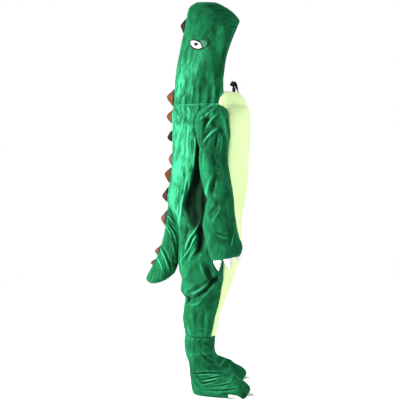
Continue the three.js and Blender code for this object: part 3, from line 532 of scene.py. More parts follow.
# A row for each height. outer is the half width, inner the inside of the leg, or minus outer where
# the halves share one round; border is the angle of the seam between belly and back.
body = table("height front back outer inner border", [
    [-1015, 55, 77, 172, 38, 48], [-978, 66, 80, 175, 36, 48], [-940, 71, 86, 178, 32, 44],
    [-893, 86, 81, 181, 26, 45], [-858, 97, 77, 184, 20, 48], [-821, 111, 96, 189, 11, 51],
    [-775, 127, 92, 196, 0.5, 54], [-735, 143, 104, 202, -44, 58], [-690, 158, 108, 208, -105, 61],
    [-640, 168, 110, 211, -165, 62], [-580, 171, 113, 212, -212, 63], [-510, 172, 128, 209, -209, 64],
    [-440, 184, 157, 205, -205, 65], [-390, 191, 152, 202, -202, 66], [-340, 198, 141, 200, -200, 66],
    [-270, 199, 134, 200, -200, 66], [-190, 207, 131, 201, -201, 66], [-120, 209, 130, 197, -197, 66.5],
    [-80, 209, 130, 188, -188, 66.5], [-52, 205, 131, 170, -170, 68], [-35, 201, 131, 146, -146, 72],
    [neck, 196, 130, 118, -118, 78], [6, 182, 127, 112, -112, 73], [neckline, 163, 126, 110, -110, 62]])

armhole = {"angle": 93.5, "halfAngle": 23.0, "height": -116.0, "halfHeight": 78.0, "calmWide": 1.25,
           "calmHigh": 1.2}
tailRoot = {"top": -455.0, "bottom": -700.0, "halfWidth": 88.0, "calmAngle": 34.0, "depth": 1.5}

# across, along, toAcross, toAlong, bow, width, depth, side: the ends of a fold's line, how far it
# bows, its width and height, and the side it lies on, 1 left or -1 right, if it isn't on both
bodyFolds = [
    (152, -862, 66, -760, 14, 17, -13, 1), (150, -860, 70, -768, 10, 17, -12, -1),
    (140, -832, 84, -778, 8, 22, 6), (108, -190, 108, -545, 0, 30, -16), (122, -300, 127, -540, 0, 14, 5),
    (150, -200, 146, -480, 0, 30, 5), (104, -520, 150, -672, -16, 20, 7, 1),
    (106, -540, 148, -664, -10, 20, 6, -1), (122, -610, 140, -712, 12, 16, -8, 1),
    (40, -560, 88, -650, 0, 26, -5), (20, -720, 60, -690, 8, 22, -5, 1),
    (24, -728, 62, -706, 6, 22, -4, -1), (180, -60, 176, -330, 0, 26, 3)]
# Finer creases on the front and the back, where a side view shows none
bodyCreases = [
    (24, -560, 64, -640, 6, 14, 2.4, -1), (16, -640, 58, -700, 8, 12, -2.6),
    (30, -756, 62, -730, 6, 10, -3), (34, -800, 60, -860, 4, 13, 2.4), (10, -90, 40, -40, 6, 16, -2.2),
    (46, -96, 64, -46, 4, 14, 2.4), (20, -470, 34, -250, 6, 24, 1.8, -1),
    (44, -440, 52, -180, -6, 26, -1.8), (166, -90, 172, -300, 4, 9, -2.6),
    (172, -60, 168, -210, -4, 7, 3.0), (160, -240, 168, -420, 4, 8, 3.0),
    (174, -300, 166, -430, 4, 7, -2.8), (156, -340, 170, -450, 6, 7, 2.8, 1),
    (168, -770, 150, -860, 5, 9, -3.2), (162, -870, 170, -980, 5, 10, 2.8)]
# ahead, height, toAhead, toHeight, bow, width, depth in side view: the nap wrinkles of the upper
# back, the hollow behind the arm and its rolled edge, the seat's loop, and the thigh
bodySide = [
    (-81, -69, -113, -201, -4, 5, 3.6), (-58, -60, -67, -288, 3, 6, 3.4), (-46, -134, -53, -250, 3, 5, 2.6),
    (-82, -142, -92, -184, 0, 6, -4.2), (-71, -80, -78, -267, -3, 5, -3.0),
    (-100, -60, -104, -140, 3, 5, 2.6), (-94, -230, -88, -330, 4, 5, 3.2),
    (-76, -290, -92, -410, -4, 5, -3.2), (-108, -250, -110, -380, 3, 6, 2.8),
    (-64, -330, -82, -440, 3, 4, 3.0), (-98, -380, -108, -470, 2, 5, -2.8),
    (-38, -60, -40, -190, 2, 8, 4.0), (14, -50, -14, -150, -5, 8, -11), (-12, -100, -16, -400, 0, 13, -12),
    (6, -320, 4, -580, 0, 13, -13), (-28, -280, -44, -580, 0, 25, -13), (-64, -350, -72, -580, 0, 15, -11),
    (-70, -540, -96, -690, 0, 12, -12), (-6, -530, -14, -660, 0, 16, -13), (-46, -600, -76, -690, 0, 7, -9),
    (-30, -90, -48, -330, -4, 6, 6.0), (-50, -290, -84, -450, -6, 6, 7.0),
    (-82, -400, -101, -640, 4, 5.5, 9.0), (-103, -560, -88, -750, -5, 5, 9.0),
    (-116, -500, -122, -720, 0, 8, -7), (-119, -504, -95, -570, -4, 4, -7.0),
    (-126, -500, -96, -580, -6, 4, 6.5), (-112, -498, -92, -552, -4, 4, 5.5),
    (-104, -440, -98, -540, 4, 4, 4.5), (-9, -500, -84, -650, -4, 5, 9.5),
    (-34, -560, -78, -664, 0, 4.5, -10), (-24, -575, -96, -716, 4, 5, 9.0),
    (-1, -580, -42, -692, 0, 12, -9.0), (-20, -620, -66, -700, 3, 6, 4.0),
    (-64, -690, -74, -792, 3, 13, 5.0), (8, -680, 41, -800, 0, 17, -9.0), (-16, -690, 12, -770, 0, 7, 3.6),
    (-67, -862, 62, -752, 12, 9, -9.0), (-74, -836, 40, -760, 10, 8, 6.5), (-60, -880, 0, -850, 6, 8, 4.2),
    (-46, -900, -40, -1010, 3, 12, 3.6), (6, -890, 14, -1010, 3, 12, -4.6),
    (-64, -960, -52, -1010, 2, 6, 3.4), (-30, -986, 40, -1004, -5, 6, -3.4), (36, -860, 44, -980, 2, 9, 3.0)]
# Wrinkles that run from the hood into the back, through the neck seam, as in bodySide
neckSide = [
    (-98, 90, -104, -150, 3, 8, 2.4), (-80, 130, -86, -120, -3, 9, 2.8), (-66, 60, -74, -170, 3, 7, -2.2),
    (-50, 110, -46, -130, -3, 8, 2.6), (-34, 70, -46, -100, 3, 7, -2.4), (-22, 100, -26, -120, -3, 8, 2.2),
    (-2, 60, -14, -92, 3, 7, -1.8), (16, 80, -2, -96, -5, 9, 2.6), (36, 50, 12, -76, -5, 8, -3.0),
    (52, 90, 34, -66, -4, 8, 2.2), (66, 40, 56, -60, -4, 7, -2.4), (84, 60, 78, -54, 3, 7, 1.8)]


def bodySection(height):
    front, rear, outer, inner, border = followAll(body, "front back outer inner border", height, "height")
    return {"centre": (outer + inner) / 2, "halfWidth": (outer - inner) / 2, "middle": (front - rear) / 2,
            "halfDepth": (front + rear) / 2, "border": border}


def startAngle(section, gap=halfSeam):
    # At the centre front, or at the inside of a leg that stands free
    wanted = (gap - section["centre"]) / section["halfWidth"]
    free = -90 + np.degrees(halfSeam / section["halfDepth"])
    return np.where(wanted <= -1, free, angleAcross(wanted))


def bodyBase(angle, height):
    # A squared round about the section's middle, halfWidth across and halfDepth deep
    s = bodySection(height)
    return place(s["centre"] + s["halfWidth"] * sideways(angle),
                 s["middle"] + s["halfDepth"] * forwards(angle), height)


def bodyNormal(angle, height):
    normal = normalOf(bodyBase, angle, height, rowStep=2)
    return levelled(normal, (np.abs(height - neck) < 1) | (np.abs(height - shin) < 1))


def armholeDistance(angle, height):
    # Millimetres from the armhole's edge, minus inside it
    r = np.hypot((angle - armhole["angle"]) / armhole["halfAngle"],
                 (height - armhole["height"]) / armhole["halfHeight"])
    return (r - 1) * armhole["halfHeight"], r


def sewnReach(angle, height):
    # How far from the middle of the armhole and of the tail's root, as shares of their calm reach
    arm = np.hypot((angle - armhole["angle"]) / (armhole["halfAngle"] * armhole["calmWide"]),
                   (height - armhole["height"]) / (armhole["halfHeight"] * armhole["calmHigh"]))
    top, bottom = tailRoot["top"], tailRoot["bottom"]
    tail = np.hypot((angle - 180) / tailRoot["calmAngle"], (2 * height - top - bottom) / (top - bottom))
    return arm, tail


def sewnFlat(angle, height):
    # The large folds fade out round the armhole and the tail's root
    arm, tail = sewnReach(angle, height)
    return smoothStep(arm, 0.9, 1.3) * smoothStep(tail, 1, 1.3)


def nearSewn(angle, height):
    # The finer creases run closer to the sewn edges than the large folds do
    arm, tail = sewnReach(angle, height)
    return smoothStep(arm, 0.85, 1.05) * smoothStep(tail, 0.66, 0.84)


def seatAngle(left, height):
    section = bodySection(height)
    return 180 - angleAcross((np.maximum(np.abs(left), halfSeam) - section["centre"]) / section["halfWidth"])


def bodyPanel(side, height, section, start, end, columns):
    # Half of the belly or of the back, from one angle to another at each height. Creases of the side
    # view lie where the cloth faces sideways, and crushed pile mostly on the upper back.
    angle = start + (end - start) * np.linspace(0, 1, columns)[None, :]
    height = np.broadcast_to(height, angle.shape)
    base = bodyBase(angle, height)
    border = section["border"]
    facing = smoothStep(bodyNormal(angle, height)[..., 0], 0.2, 0.6) * smoothStep(angle, 70, 86)
    onBack = smoothStep(angle, border + 30, 125) * smoothStep(height, -560, -440)
    relief = foldHeight(bodyFolds + bodyCreases, side, angle, height, bodyRound)
    relief = (relief + unevenness(angle * bodyRound, height, 1.7 * side)) * sewnFlat(angle, height)
    pile = crumple(angle * bodyRound, height, 0.9 * side) * (0.25 + 1.35 * onBack) * smoothStep(angle, 70, 90)
    relief += (sideCreases(bodySide, side, base) * facing + pile) * nearSewn(angle, height)
    relief *= np.where(angle < border, 1, smoothStep(neck - height, 0, 34))
    relief += sideCreases(neckSide, side, base) * smoothStep(angle, border, border + 8)
    first, _ = runningLengths(base)
    # The last mask is painted light: it makes the upper back paler, as light from behind would
    return {"angle": angle, "height": height, "base": base, "relief": relief,
            "first": first, "last": first[:, -1:] - first,
            "brushedAndPaintedLight": onBack * (0.8 + 0.2 * np.sin(height / 37 + angle / 9))}


def raised(panel, extra):
    # The panel's base moved along its normal by its folds and its seams, kept off the centre plane
    relief = panel["relief"] + extra
    grid = panel["base"] + bodyNormal(panel["angle"], panel["height"]) * relief[..., None]
    grid[..., 0] = np.maximum(grid[..., 0], halfSeam)
    return grid, relief


belly = {"columns": 54, "rowStep": 4.8, "zipGap": 3.4, "zipBottom": -600.0, "zipEase": 12.0, "hem": 12.0}
back = {"columns": 92, "rowStep": 4.5}


def buildBelly(name, side):
    rows = int((neckline - shin) / belly["rowStep"])
    height = np.linspace(shin + halfSeam, neckline, rows)[:, None]
    section = bodySection(height)
    zipped = smoothStep(height, belly["zipBottom"] - belly["zipEase"], belly["zipBottom"])
    start = startAngle(section, halfSeam + belly["zipGap"] * zipped)
    end = section["border"] - np.degrees(halfSeam / section["halfWidth"])
    panel = bodyPanel(side, height, section, start, end, belly["columns"])
    first, last, hem = panel["first"], panel["last"], neckline - height
    extra = seamDip(last, 2.6, 5) + seamDip(height - shin, 2.4, 5) + seamDip(hem, 2.0, 3)
    extra += mix(seamDip(first, 2.2, 4), seamDip(first, 1.4, 2.2), zipped)
    extra += seamDip(hem - belly["hem"], 1.0, 2.6)
    extra += puckers(last, height, 0.7) + puckers(first, height + 9, 0.5, 10) * zipped
    grid, relief = raised(panel, extra)
    clothPiece(f"belly_{name}", grid, limePlush, "lime_plush", False, side, relief)


def buildBack(name, side):
    rows = int((neck - shin) / back["rowStep"])
    height = np.linspace(shin + halfSeam, neck - halfSeam, rows)[:, None]
    section = bodySection(height)
    start = section["border"] + np.degrees(halfSeam / section["halfWidth"])
    panel = bodyPanel(side, height, section, start, 180 - startAngle(section), back["columns"])
    _, r = armholeDistance(panel["angle"], panel["height"])
    keep = r >= 1
    # Points just inside the armhole move out onto its edge
    pull = np.where(keep, 1.0, 1 / np.maximum(r, 1e-6))
    for key in ("angle", "height"):
        panel[key] = armhole[key] + (panel[key] - armhole[key]) * pull
    angle, height = panel["angle"], panel["height"]
    panel["base"] = bodyBase(angle, height)
    distance, _ = armholeDistance(angle, height)
    beside, above = (angle - armhole["angle"]) * bodyRound, height - armhole["height"]
    aroundArm = np.degrees(np.arctan2(above, beside)) * 1.3
    extra = seamDip(panel["first"], 2.6, 5) + seamDip(panel["last"], 2.4, 5)
    extra += seamDip(height - shin, 2.4, 5) + seamDip(distance, 2.4, 6)
    extra += puckers(panel["first"], height, 0.7) + puckers(panel["last"], height + 5, 0.8)
    extra += puckers(distance, aroundArm, 0.3, 18)
    grid, relief = raised(panel, extra)
    clothPiece(f"back_{name}", grid, greenPlush, "green_plush", False, side, relief,
               keep=keep, brushedAndPaintedLight=panel["brushedAndPaintedLight"])


# Hood

# A row for each strip from the free front edge to the seam over the crown; the first three rows
# repeat the body's own sections at the neck, so the neck seam fits
neckRows = np.array([neck, 6.0, neckline])
neckSection = bodySection(neckRows)
hoodRows = table("crownBack crownHeight edgeFront edgeHeight halfWidth edgeAngle", np.concatenate([
    np.stack([neckSection["halfDepth"] - neckSection["middle"], neckRows,
              neckSection["middle"] + neckSection["halfDepth"] * forwards(neckSection["border"]), neckRows,
              neckSection["halfWidth"], neckSection["border"]], axis=1),
    [[123, 79, 88, 75, 108, 62], [117, 135, 93, 125, 108, 62], [106, 195, 102, 184, 110, 62],
     [94, 257, 114, 228, 110, 62], [82, 310, 123, 256, 106, 61], [73, 362, 131, 278, 98, 60],
     [62, 405, 137, 294, 87, 59], [17, 431, 144, 309, 73, 58], [-40, 431, 150, 322, 55, 57],
     [-90, 414, 155, 333, 38, 56], [-128, 390, 159, 341, 23, 56], [-152, 366, 162, 347, 11, 56]]]))
hood = {"columns": 70, "rows": 128, "lastRow": 14.0, "hem": 15.0, "neckRow": 0.0054,
        "rowLength": 52.0, "calmRow": 12.6}
# across is an angle, along a row of the hood's table, by its number
hoodFolds = [
    (84, 3.0, 80, 8.5, 0, 11, 2.0), (126, 2.4, 122, 9.0, 0, 18, -1.6),
    (112, 0.9, 140, 2.6, 0, 12, -1.6, -1), (108, 0.9, 136, 3.0, 0, 12, -1.8, 1),
    (164, 3.0, 168, 9.5, 0, 10, -1.6)]
# Soft upright bands of the hood in side view, as in bodySide
hoodSide = [
    (-73, 204, -99, -6, 3, 13, 3.6), (12, 170, 2, 16, 0, 15, -3.0), (42, 120, 46, 4, 0, 10, 3.0),
    (98, 320, 72, 150, 0, 12, 2.2), (64, 353, 47, 161, 0, 11, -2.6), (-88, 100, -112, 2, 2, 6, 2.2),
    (-70, 90, -80, 6, 2, 6, -2.2), (-40, 60, -48, 2, 0, 8, 1.8), (30, 330, 20, 190, 0, 12, 1.8),
    (-20, 240, -26, 60, 0, 9, 1.4), (60, 60, 54, 8, 0, 5, -2.4)]


def hoodSection(row):
    edgeAngle, crownBack, crownHeight, edgeFront, edgeHeight, halfWidth = followAll(
        hoodRows, "edgeAngle crownBack crownHeight edgeFront edgeHeight halfWidth", row)
    edge = forwards(edgeAngle)
    return {"edgeAngle": edgeAngle, "crownFront": -crownBack, "crownHeight": crownHeight,
            "middle": (edgeFront - crownBack * edge) / (1 + edge),
            "middleHeight": (edgeHeight + crownHeight * edge) / (1 + edge), "halfWidth": halfWidth}


def hoodBase(angle, row):
    # A squared round that leans with its strip: its free edge at edgeAngle, the crown's seam at 180
    s = hoodSection(row)
    return place(s["halfWidth"] * sideways(angle),
                 s["middle"] - (s["crownFront"] - s["middle"]) * forwards(angle),
                 s["middleHeight"] - (s["crownHeight"] - s["middleHeight"]) * forwards(angle))


def hoodNormal(angle, row):
    return levelled(normalOf(hoodBase, angle, row), row < 0.1)


def hoodPoint(angle, row, out):
    return hoodBase(angle, row) + hoodNormal(angle, row) * out[..., None]


def hoodFoldHeight(side, angle, row):
    long = hood["rowLength"]
    folds = [(a, r * long, b, q * long, *rest) for a, r, b, q, *rest in hoodFolds]
    return foldHeight(folds, side, angle, row * long, hoodRound)


def buildHood(name, side):
    row = np.linspace(hood["neckRow"], hood["lastRow"], hood["rows"])[:, None]
    s = hoodSection(row)
    seam = np.degrees(halfSeam / s["halfWidth"])
    start, end = s["edgeAngle"] + seam, 180 - seam
    angle = start + (end - start) * np.linspace(0, 1, hood["columns"])[None, :]
    row = np.broadcast_to(row, angle.shape)
    base = hoodBase(angle, row)
    first, climb = runningLengths(base)
    last, fromHem = first[:, -1:] - first, first - hood["hem"]
    aroundEye = np.exp(-((angle - eyes["angle"]) / eyes["calmAngle"]) ** 2
                       - ((row - eyes["row"]) / eyes["calmRow"]) ** 2)
    soft = hoodFoldHeight(side, angle, row) + unevenness(first, climb, 3.1 * side, 1.1)
    soft += sideCreases(hoodSide, side, base) + crumple(first, climb, 2.6 * side, 0.5)
    soft = soft * smoothStep(climb, 0, 34) + sideCreases(neckSide, side, base)
    relief = soft * smoothStep(last, 2, 25) * (1 - aroundEye) + seamDip(last, 2.4, 5)
    relief += seamDip(first, 1.6, 2.5) + seamDip(fromHem, 1.3, 2.4) + puckers(last, climb, 0.7)
    relief += 0.5 * np.sin(climb / 4.1) * np.exp(-(fromHem / 5) ** 2)   # gathers of the hem's stitching
    relief = relief * mix(0.35, 1.0, smoothStep(row, hood["lastRow"], hood["calmRow"]))
    grid = base + hoodNormal(angle, row) * relief[..., None]
    grid[..., 0] = np.maximum(grid[..., 0], halfSeam)
    # Painted light: paler at the back of the hood, behind a line that slants forwards as it climbs, and
    # fading out towards the crown
    brushedAndPaintedLight = smoothStep(base[..., 1] + 0.4 * climb - 130, -88, -20) * smoothStep(climb, 330, 120)
    clothPiece(f"hood_{name}", grid, greenPlush, "green_plush", False, side, relief,
               brushedAndPaintedLight=brushedAndPaintedLight)


# Sleeves

# A row for each ring: its outer and inner edge seen from the front, its front and back edge seen
# from the side, and how far the ring's front is lifted
sleeveRows = table("outer outerHeight inner innerHeight front back rise", [
    [206, -36, 210, -201, 107, 30, 0], [246, -54, 213, -207, 111, 30, 0], [278, -90, 215, -215, 112, 28, 0],
    [298, -140, 216, -227, 109, 23, 0], [309, -200, 217, -246, 103, 15, 0],
    [316, -262, 218, -276, 103, 17, 0], [321, -318, 219, -320, 109, 13, 0],
    [327, -372, 221, -373, 118, 1, 0], [332, -432, 224, -432, 126, -14, 0],
    [338, -470, 226, -470, 128, -8, 0], [345, -530, 230, -530, 136, 2, 0],
    [349, -588, 233, -588, 149, -11, 2], [350, -622, 235, -622, 160, -19, 4],
    [348, -646, 237, -646, 158, -24, 8], [346, -664, 238, -664, 151, -36, 11]])
sleeve = {"columns": 97, "rowsPerRow": 11, "hem": 17.0, "gap": 0.3}
sleeveFolds = [
    (60, -70, 30, -205, 0, 15, 6), (100, -60, 160, -200, 0, 14, 5, 1), (96, -80, 150, -215, 0, 14, 4, -1),
    (120, -80, 60, -150, 0, 12, -4), (150, -225, 120, -310, 0, 30, 7, 1),
    (140, -240, 110, -330, 0, 30, 6, -1), (200, -430, 90, -446, 6, 15, -8, 1),
    (200, -420, 80, -440, 6, 15, -7, -1), (120, -330, 150, -420, 0, 18, 5),
    (20, -560, 120, -600, 10, 18, -4)]
# Finer creases on the front, back and inner side of a sleeve
sleeveCreases = [
    (12, -90, 10, -236, 0, 7, -3.6), (330, -250, 336, -470, 6, 22, -2.6),
    (270, -300, 280, -520, 6, 24, 2.6), (190, -398, 230, -414, 5, 8, 3.4),
    (196, -452, 240, -466, -5, 7, 3.2), (300, -440, 350, -455, 5, 8, -2.8),
    (210, -560, 260, -590, 5, 9, 2.4), (310, -580, 350, -600, 4, 8, 2.2)]
# The sleeve in side view, as in bodySide: ridges from the chest down to the back, the thin upright
# ridge, the elbow, and the forearm
sleeveSide = [
    (57, -54, -21, -108, 4, 5, 5.0), (64, -75, -1, -148, 4, 5, 4.2), (70, -131, -10, -205, 6, 6, 6.5),
    (44, -40, -10, -78, 4, 5, 3.4), (72, -67, 98, -218, -3, 5, 5.5), (90, -92, 104, -196, -2, 7, -7.5),
    (24, -52, -2, -150, -6, 10, -5.5), (16, -84, -4, -225, -6, 13, -6.5), (-2, -190, -8, -300, 0, 7, -7),
    (56, -71, -1, -124, 4, 5, -3.0), (60, -112, -12, -192, 4, 7, -4.5), (6, -62, -12, -228, -3, 8, -6.0),
    (34, -58, 4, -112, -3, 7, -3.5), (58, -148, 49, -219, 0, 7, -6.5), (76, -150, 70, -240, 0, 6, 3.6),
    (8, -232, 23, -312, -4, 17, 5.0), (39, -322, 15, -431, 5, 8, 5.5), (56, -300, 35, -431, 5, 9, -6.0),
    (15, -334, -2, -415, 0, 6, -4.0), (84, -250, 80, -420, 4, 12, 3.0), (64, -431, 15, -500, 0, 9, -6.5),
    (72, -455, 30, -530, 0, 8, 4.0), (19, -544, 31, -609, 0, 13, 4.0), (42, -552, 110, -572, 3, 5, -2.4),
    (44, -563, 112, -585, 3, 5, 2.2), (40, -578, 104, -597, 3, 5, -2.0), (124, -560, 112, -617, 0, 5, 3.2),
    (108, -500, 120, -560, 0, 7, -2.6), (60, -610, 84, -650, 0, 9, -2.8), (96, -420, 104, -500, 0, 9, 2.8),
    (40, -262, 58, -290, 0, 6, -3.4)]


def armholePoint(turn, margin, out):
    # On the armhole's oval, made larger by a margin, and moved out from the cloth
    angle = armhole["angle"] - (armhole["halfAngle"] + margin / bodyRound) * np.cos(np.radians(turn))
    height = armhole["height"] + (armhole["halfHeight"] + margin) * np.sin(np.radians(turn))
    return bodyBase(angle, height) + bodyNormal(angle, height) * np.asarray(out)[..., None]


def sleeveRing(turn, row):
    # A squared round between the row's inner and outer edge and its front and back edge
    outer, outerHeight, inner, innerHeight, front, rear, rise = followAll(
        sleeveRows, "outer outerHeight inner innerHeight front back rise", row)
    across, ahead = sideways(turn), forwards(turn)
    return place(mix(inner, outer, (1 + across) / 2), mix(-rear, front, (1 + ahead) / 2),
                 mix(innerHeight, outerHeight, (1 + across) / 2) + rise * ahead)


def sleeveBase(turn, row):
    # Row 0 to 1 passes through the armhole, then comes the table, its first row at 2
    turn, row = np.broadcast_arrays(np.asarray(turn, float), np.asarray(row, float))
    through = armholePoint(turn, -sleeve["gap"], -plushThick * (1 - np.clip(row, 0, 1)))
    blend = np.clip(row - 1, 0, 1)[..., None]
    return mix(through, sleeveRing(turn, np.maximum(row - 2, 0)), blend)


def buildSleeve(name, side):
    lastRow = len(sleeveRows["outer"]) + 1
    rows = np.concatenate([[0.0, 0.5], np.linspace(1, lastRow, (lastRow - 1) * sleeve["rowsPerRow"])])
    turn, row = np.meshgrid(np.linspace(180, 540, sleeve["columns"]), rows)
    base = sleeveBase(turn, row)
    normal = -normalOf(sleeveBase, turn, row)
    wrapped, height = turn % 360, base[..., 2]
    _, down = runningLengths(base)
    hem = down[-1:] - down
    loose = smoothStep(row, 1, 2.5)
    relief = foldHeight(sleeveFolds + sleeveCreases, side, wrapped, height, sleeveRound)
    relief += unevenness(np.cos(np.radians(turn)) * 60, height, 5.3 * side, 1.6)
    relief += crumple(np.abs(wrapped - 180) * sleeveRound, height, 2.2 * side, 0.6)
    outwards = smoothStep(sideways(turn), -0.1, 0.45)
    relief = relief * loose + sideCreases(sleeveSide, side, base) * outwards * smoothStep(down, 5, 20)
    relief += seamDip(down - plushThick - 2, 1.6, 5) + seamDip(hem, 1.2, 3)
    relief += seamDip(hem - sleeve["hem"], 0.5, 3) + puckers(down, turn, 0.6, 20) * loose
    grid = joinedRound(base + normal * relief[..., None])
    clothPiece(f"sleeve_{name}", grid, greenPlush, "green_plush", True, side, relief,
               weld=0.01)


# Foot covers and soles

bootRows = table("front frontHeight back backHeight centre halfWidth turn", [
    [55, shin, 77, shin, 105, 67, 0], [52, -1045, 80, -1043, 104, 64, 0],
    [50, -1080, 79, -1073, 103, 61, 0], [53, -1108, 70, -1105, 102, 58, 0.2],
    [58, -1132, 60, -1150, 101, 54, 0.5], [68, -1149, 55, -1205, 100, 52, 0.8],
    [86, -1158, 44, -1268, 100, 52, 1], [108, -1167, 0, -1288, 100, 54, 1],
    [131, -1180, -60, -1291, 100, 58, 1], [152, -1196, -112, -1290, 100, 60, 1],
    [173, -1208, -142, -1290, 100, 57, 1], [190, -1220, -164, -1287, 100, 48, 1],
    [200, -1232, -177, -1280, 100, 34, 1], [203, -1241, -184, -1270, 100, 18, 1]])
boot = {"columns": 109, "rowsPerRow": 12, "toeOut": 0.21, "turnFrom": -20.0, "sole": 4.7, "seam": 0.3,
        "footCentre": 100.0, "rowLength": 30.0}
# across is the turn round the foot, along its row times rowLength
bootFolds = [
    (10, 60, 200, 100, 8, 10, 3.0, -1), (12, 66, 190, 108, -6, 9, 3.0, 1), (340, 84, 250, 128, 8, 9, -3.4),
    (330, 150, 250, 204, 6, 9, 2.6), (350, 214, 262, 246, 6, 9, -2.4), (60, 8, 70, 70, 4, 16, 2.4),
    (200, 10, 214, 84, 4, 18, 2.4), (300, 8, 306, 76, 4, 16, -2.2), (340, 200, 0, 240, 4, 8, 2.6)]
# The foot in side view, as in bodySide: long creases from the heel to the toes, the band over the
# heel, and slanting creases round the shaft
bootSide = [
    (-50, -1160, -16, -1164, 0, 8, 4.0), (-50, -1178, 83, -1172, -6, 4.5, -5.5),
    (-15, -1197, 83, -1178, 4, 4, -5.0), (-14, -1214, 62, -1194, 4, 4, -5.0),
    (-4, -1225, 124, -1205, 5, 4, -4.6), (-14, -1243, 147, -1226, 5, 4.5, -5.0),
    (-46, -1196, 20, -1186, 4, 5, 4.2), (-40, -1208, 70, -1186, 4, 4, 3.6),
    (-36, -1230, 110, -1202, 5, 4, 3.6), (-34, -1236, 150, -1214, 5, 4.5, 3.8),
    (20, -1254, 150, -1236, 4, 5, 3.6), (83, -1161, 113, -1174, 0, 5, 5.0),
    (-14, -1076, 49, -1134, 4, 7, -4.0), (-24, -1096, 40, -1148, 4, 7, 3.0),
    (34, -1042, 61, -1140, 4, 4, 4.0), (52, -1022, 56, -1100, 0, 6, -4.0),
    (-50, -1030, -44, -1130, 0, 8, 2.8), (0, -1034, 30, -1046, 4, 7, -2.8),
    (-30, -1050, 20, -1068, 5, 8, 2.2), (-54, -1215, -40, -1250, 0, 7, -3.4)]
bootRound = 0.9


def bootBase(turn, row):
    # A squared round between the row's front and back edge, sheared outwards towards the toes
    turn, row = np.broadcast_arrays(np.asarray(turn, float), np.asarray(row, float))
    lastRow = len(bootRows["front"]) - 1
    front, frontHeight, rear, rearHeight, centre, halfWidth, turned = followAll(
        bootRows, "front frontHeight back backHeight centre halfWidth turn", np.minimum(row, lastRow))
    shrink = 1 - np.clip(row - lastRow, 0, 1)   # past the last row the ring closes over the toes
    ahead = (1 + forwards(turn) * shrink) / 2
    forward = mix(-rear, front, ahead)
    outwards = turned * boot["toeOut"] * (forward - boot["turnFrom"])
    return place(centre + halfWidth * sideways(turn) * shrink + outwards, forward,
                 mix(rearHeight, frontHeight, ahead) - halfSeam * (row <= 0))


def buildFoot(name, side):
    lastRow = len(bootRows["front"]) - 1
    rows = np.concatenate([np.linspace(0, lastRow, lastRow * boot["rowsPerRow"]),
                           lastRow + np.linspace(0.15, 1, 7)])
    turn, row = np.meshgrid(np.linspace(180, 540, boot["columns"]), rows)
    base = bootBase(turn, row)
    normal = levelled(-normalOf(bootBase, turn, np.minimum(row, lastRow)), row < 0.05)
    wrapped, along = turn % 360, row * boot["rowLength"]
    around = wrapped * bootRound
    _, down = runningLengths(base)
    soleTop = floorLevel + boot["sole"]
    above = base[..., 2] - soleTop
    toe = smoothStep(row, lastRow - 0.5, lastRow - 1.6)
    # The side view's creases lie on the outer side, and weaker ones on the inner side
    outwards = smoothStep(normal[..., 0], 0.25, 0.6) + 0.3 * smoothStep(-normal[..., 0], 0.6, 0.9)
    grooves = sideCreases(bootSide, side, base) * outwards
    grooves = grooves * np.where(grooves > 0, 0.25, 1.15)   # the troughs show, the ridges hardly
    relief = foldHeight(bootFolds, side, wrapped, along, bootRound) + grooves
    relief = (relief + unevenness(around, along, 2.9 * side, 1.3)) * toe
    relief *= smoothStep(above, 0, 16) * smoothStep(down, 0, 12)
    relief += seamDip(down, 2.4, 5) + seamDip(above, 1.8, 4) * toe
    relief += puckers(down, around, 0.7) + puckers(above, around, 0.5, 8) * toe
    cover = joinedRound(base + normal * relief[..., None])
    keep = cover[..., 2] > soleTop + boot["seam"]
    cover[..., 2] = np.maximum(cover[..., 2], soleTop + boot["seam"])
    clothPiece(f"boot_{name}", cover, greenPlush, "green_plush", True, side, relief,
               keep=keep, weld=0.02)
    # The sole is what lies below the cover's lower edge, pressed flat on the floor
    under = base.copy()
    below = base[..., 2] < soleTop
    under[..., 2] = np.clip(under[..., 2], floorLevel, soleTop)
    clothPiece(f"sole_{name}", under, greenPlush, "green_plush", True, side, relief * 0,
               keep=below, weld=0.02)


# Stuffed tail

tailRows = table("top topHeight bottom bottomHeight halfWidth", [
    [157, -474, 124, -758, 90], [161, -520, 132, -766, 87], [169, -568, 142, -775, 82],
    [180, -616, 154, -784, 74], [193, -660, 169, -793, 64], [208, -697, 186, -800, 53],
    [224, -728, 204, -805, 41], [238, -753, 220, -807, 29], [248, -773, 233, -805, 17],
    [252, -786, 242, -800, 8]])
tail = {"columns": 141, "rowsPerRow": 10, "round": 1.4, "rowLength": 30.0}
# across is the turn round the tail, along its row times rowLength
tailFolds = [
    (50, 12, 150, 30, 6, 7, -4.0), (56, 30, 140, 62, 8, 7, 3.4), (44, 52, 128, 92, 8, 6, -3.6),
    (310, 14, 214, 34, 6, 7, -3.8), (304, 34, 224, 64, 8, 7, 3.2), (318, 56, 236, 96, 8, 6, -3.4),
    (60, 86, 132, 134, 8, 7, 3.0), (298, 90, 230, 138, 8, 7, 2.8), (66, 128, 120, 176, 6, 6, -2.8),
    (292, 132, 238, 178, 6, 6, -2.6), (80, 176, 130, 218, 4, 6, 2.2), (282, 178, 232, 214, 4, 6, 2.0),
    (96, 4, 104, 60, 4, 9, 2.8), (262, 6, 256, 64, 4, 9, 2.6)]
# The tail in side view, as in bodySide: slack loops hanging from its root
tailSide = [
    (-156, -500, -98, -600, -8, 4.5, 6.5), (-146, -500, -98, -590, -8, 4, -6.0),
    (-158, -536, -108, -660, -14, 4.5, 6.5), (-148, -540, -102, -650, -13, 4.5, -6.5),
    (-166, -530, -124, -730, -16, 4.5, 7.5), (-158, -560, -116, -715, -14, 5.5, -7.0),
    (-192, -640, -150, -740, -8, 4.5, 5.5), (-182, -640, -142, -735, -8, 5.5, -5.5),
    (-206, -680, -172, -750, -5, 5, 4.2), (-176, -560, -180, -660, 0, 6, -4.6),
    (-128, -700, -104, -760, 0, 9, -8)]


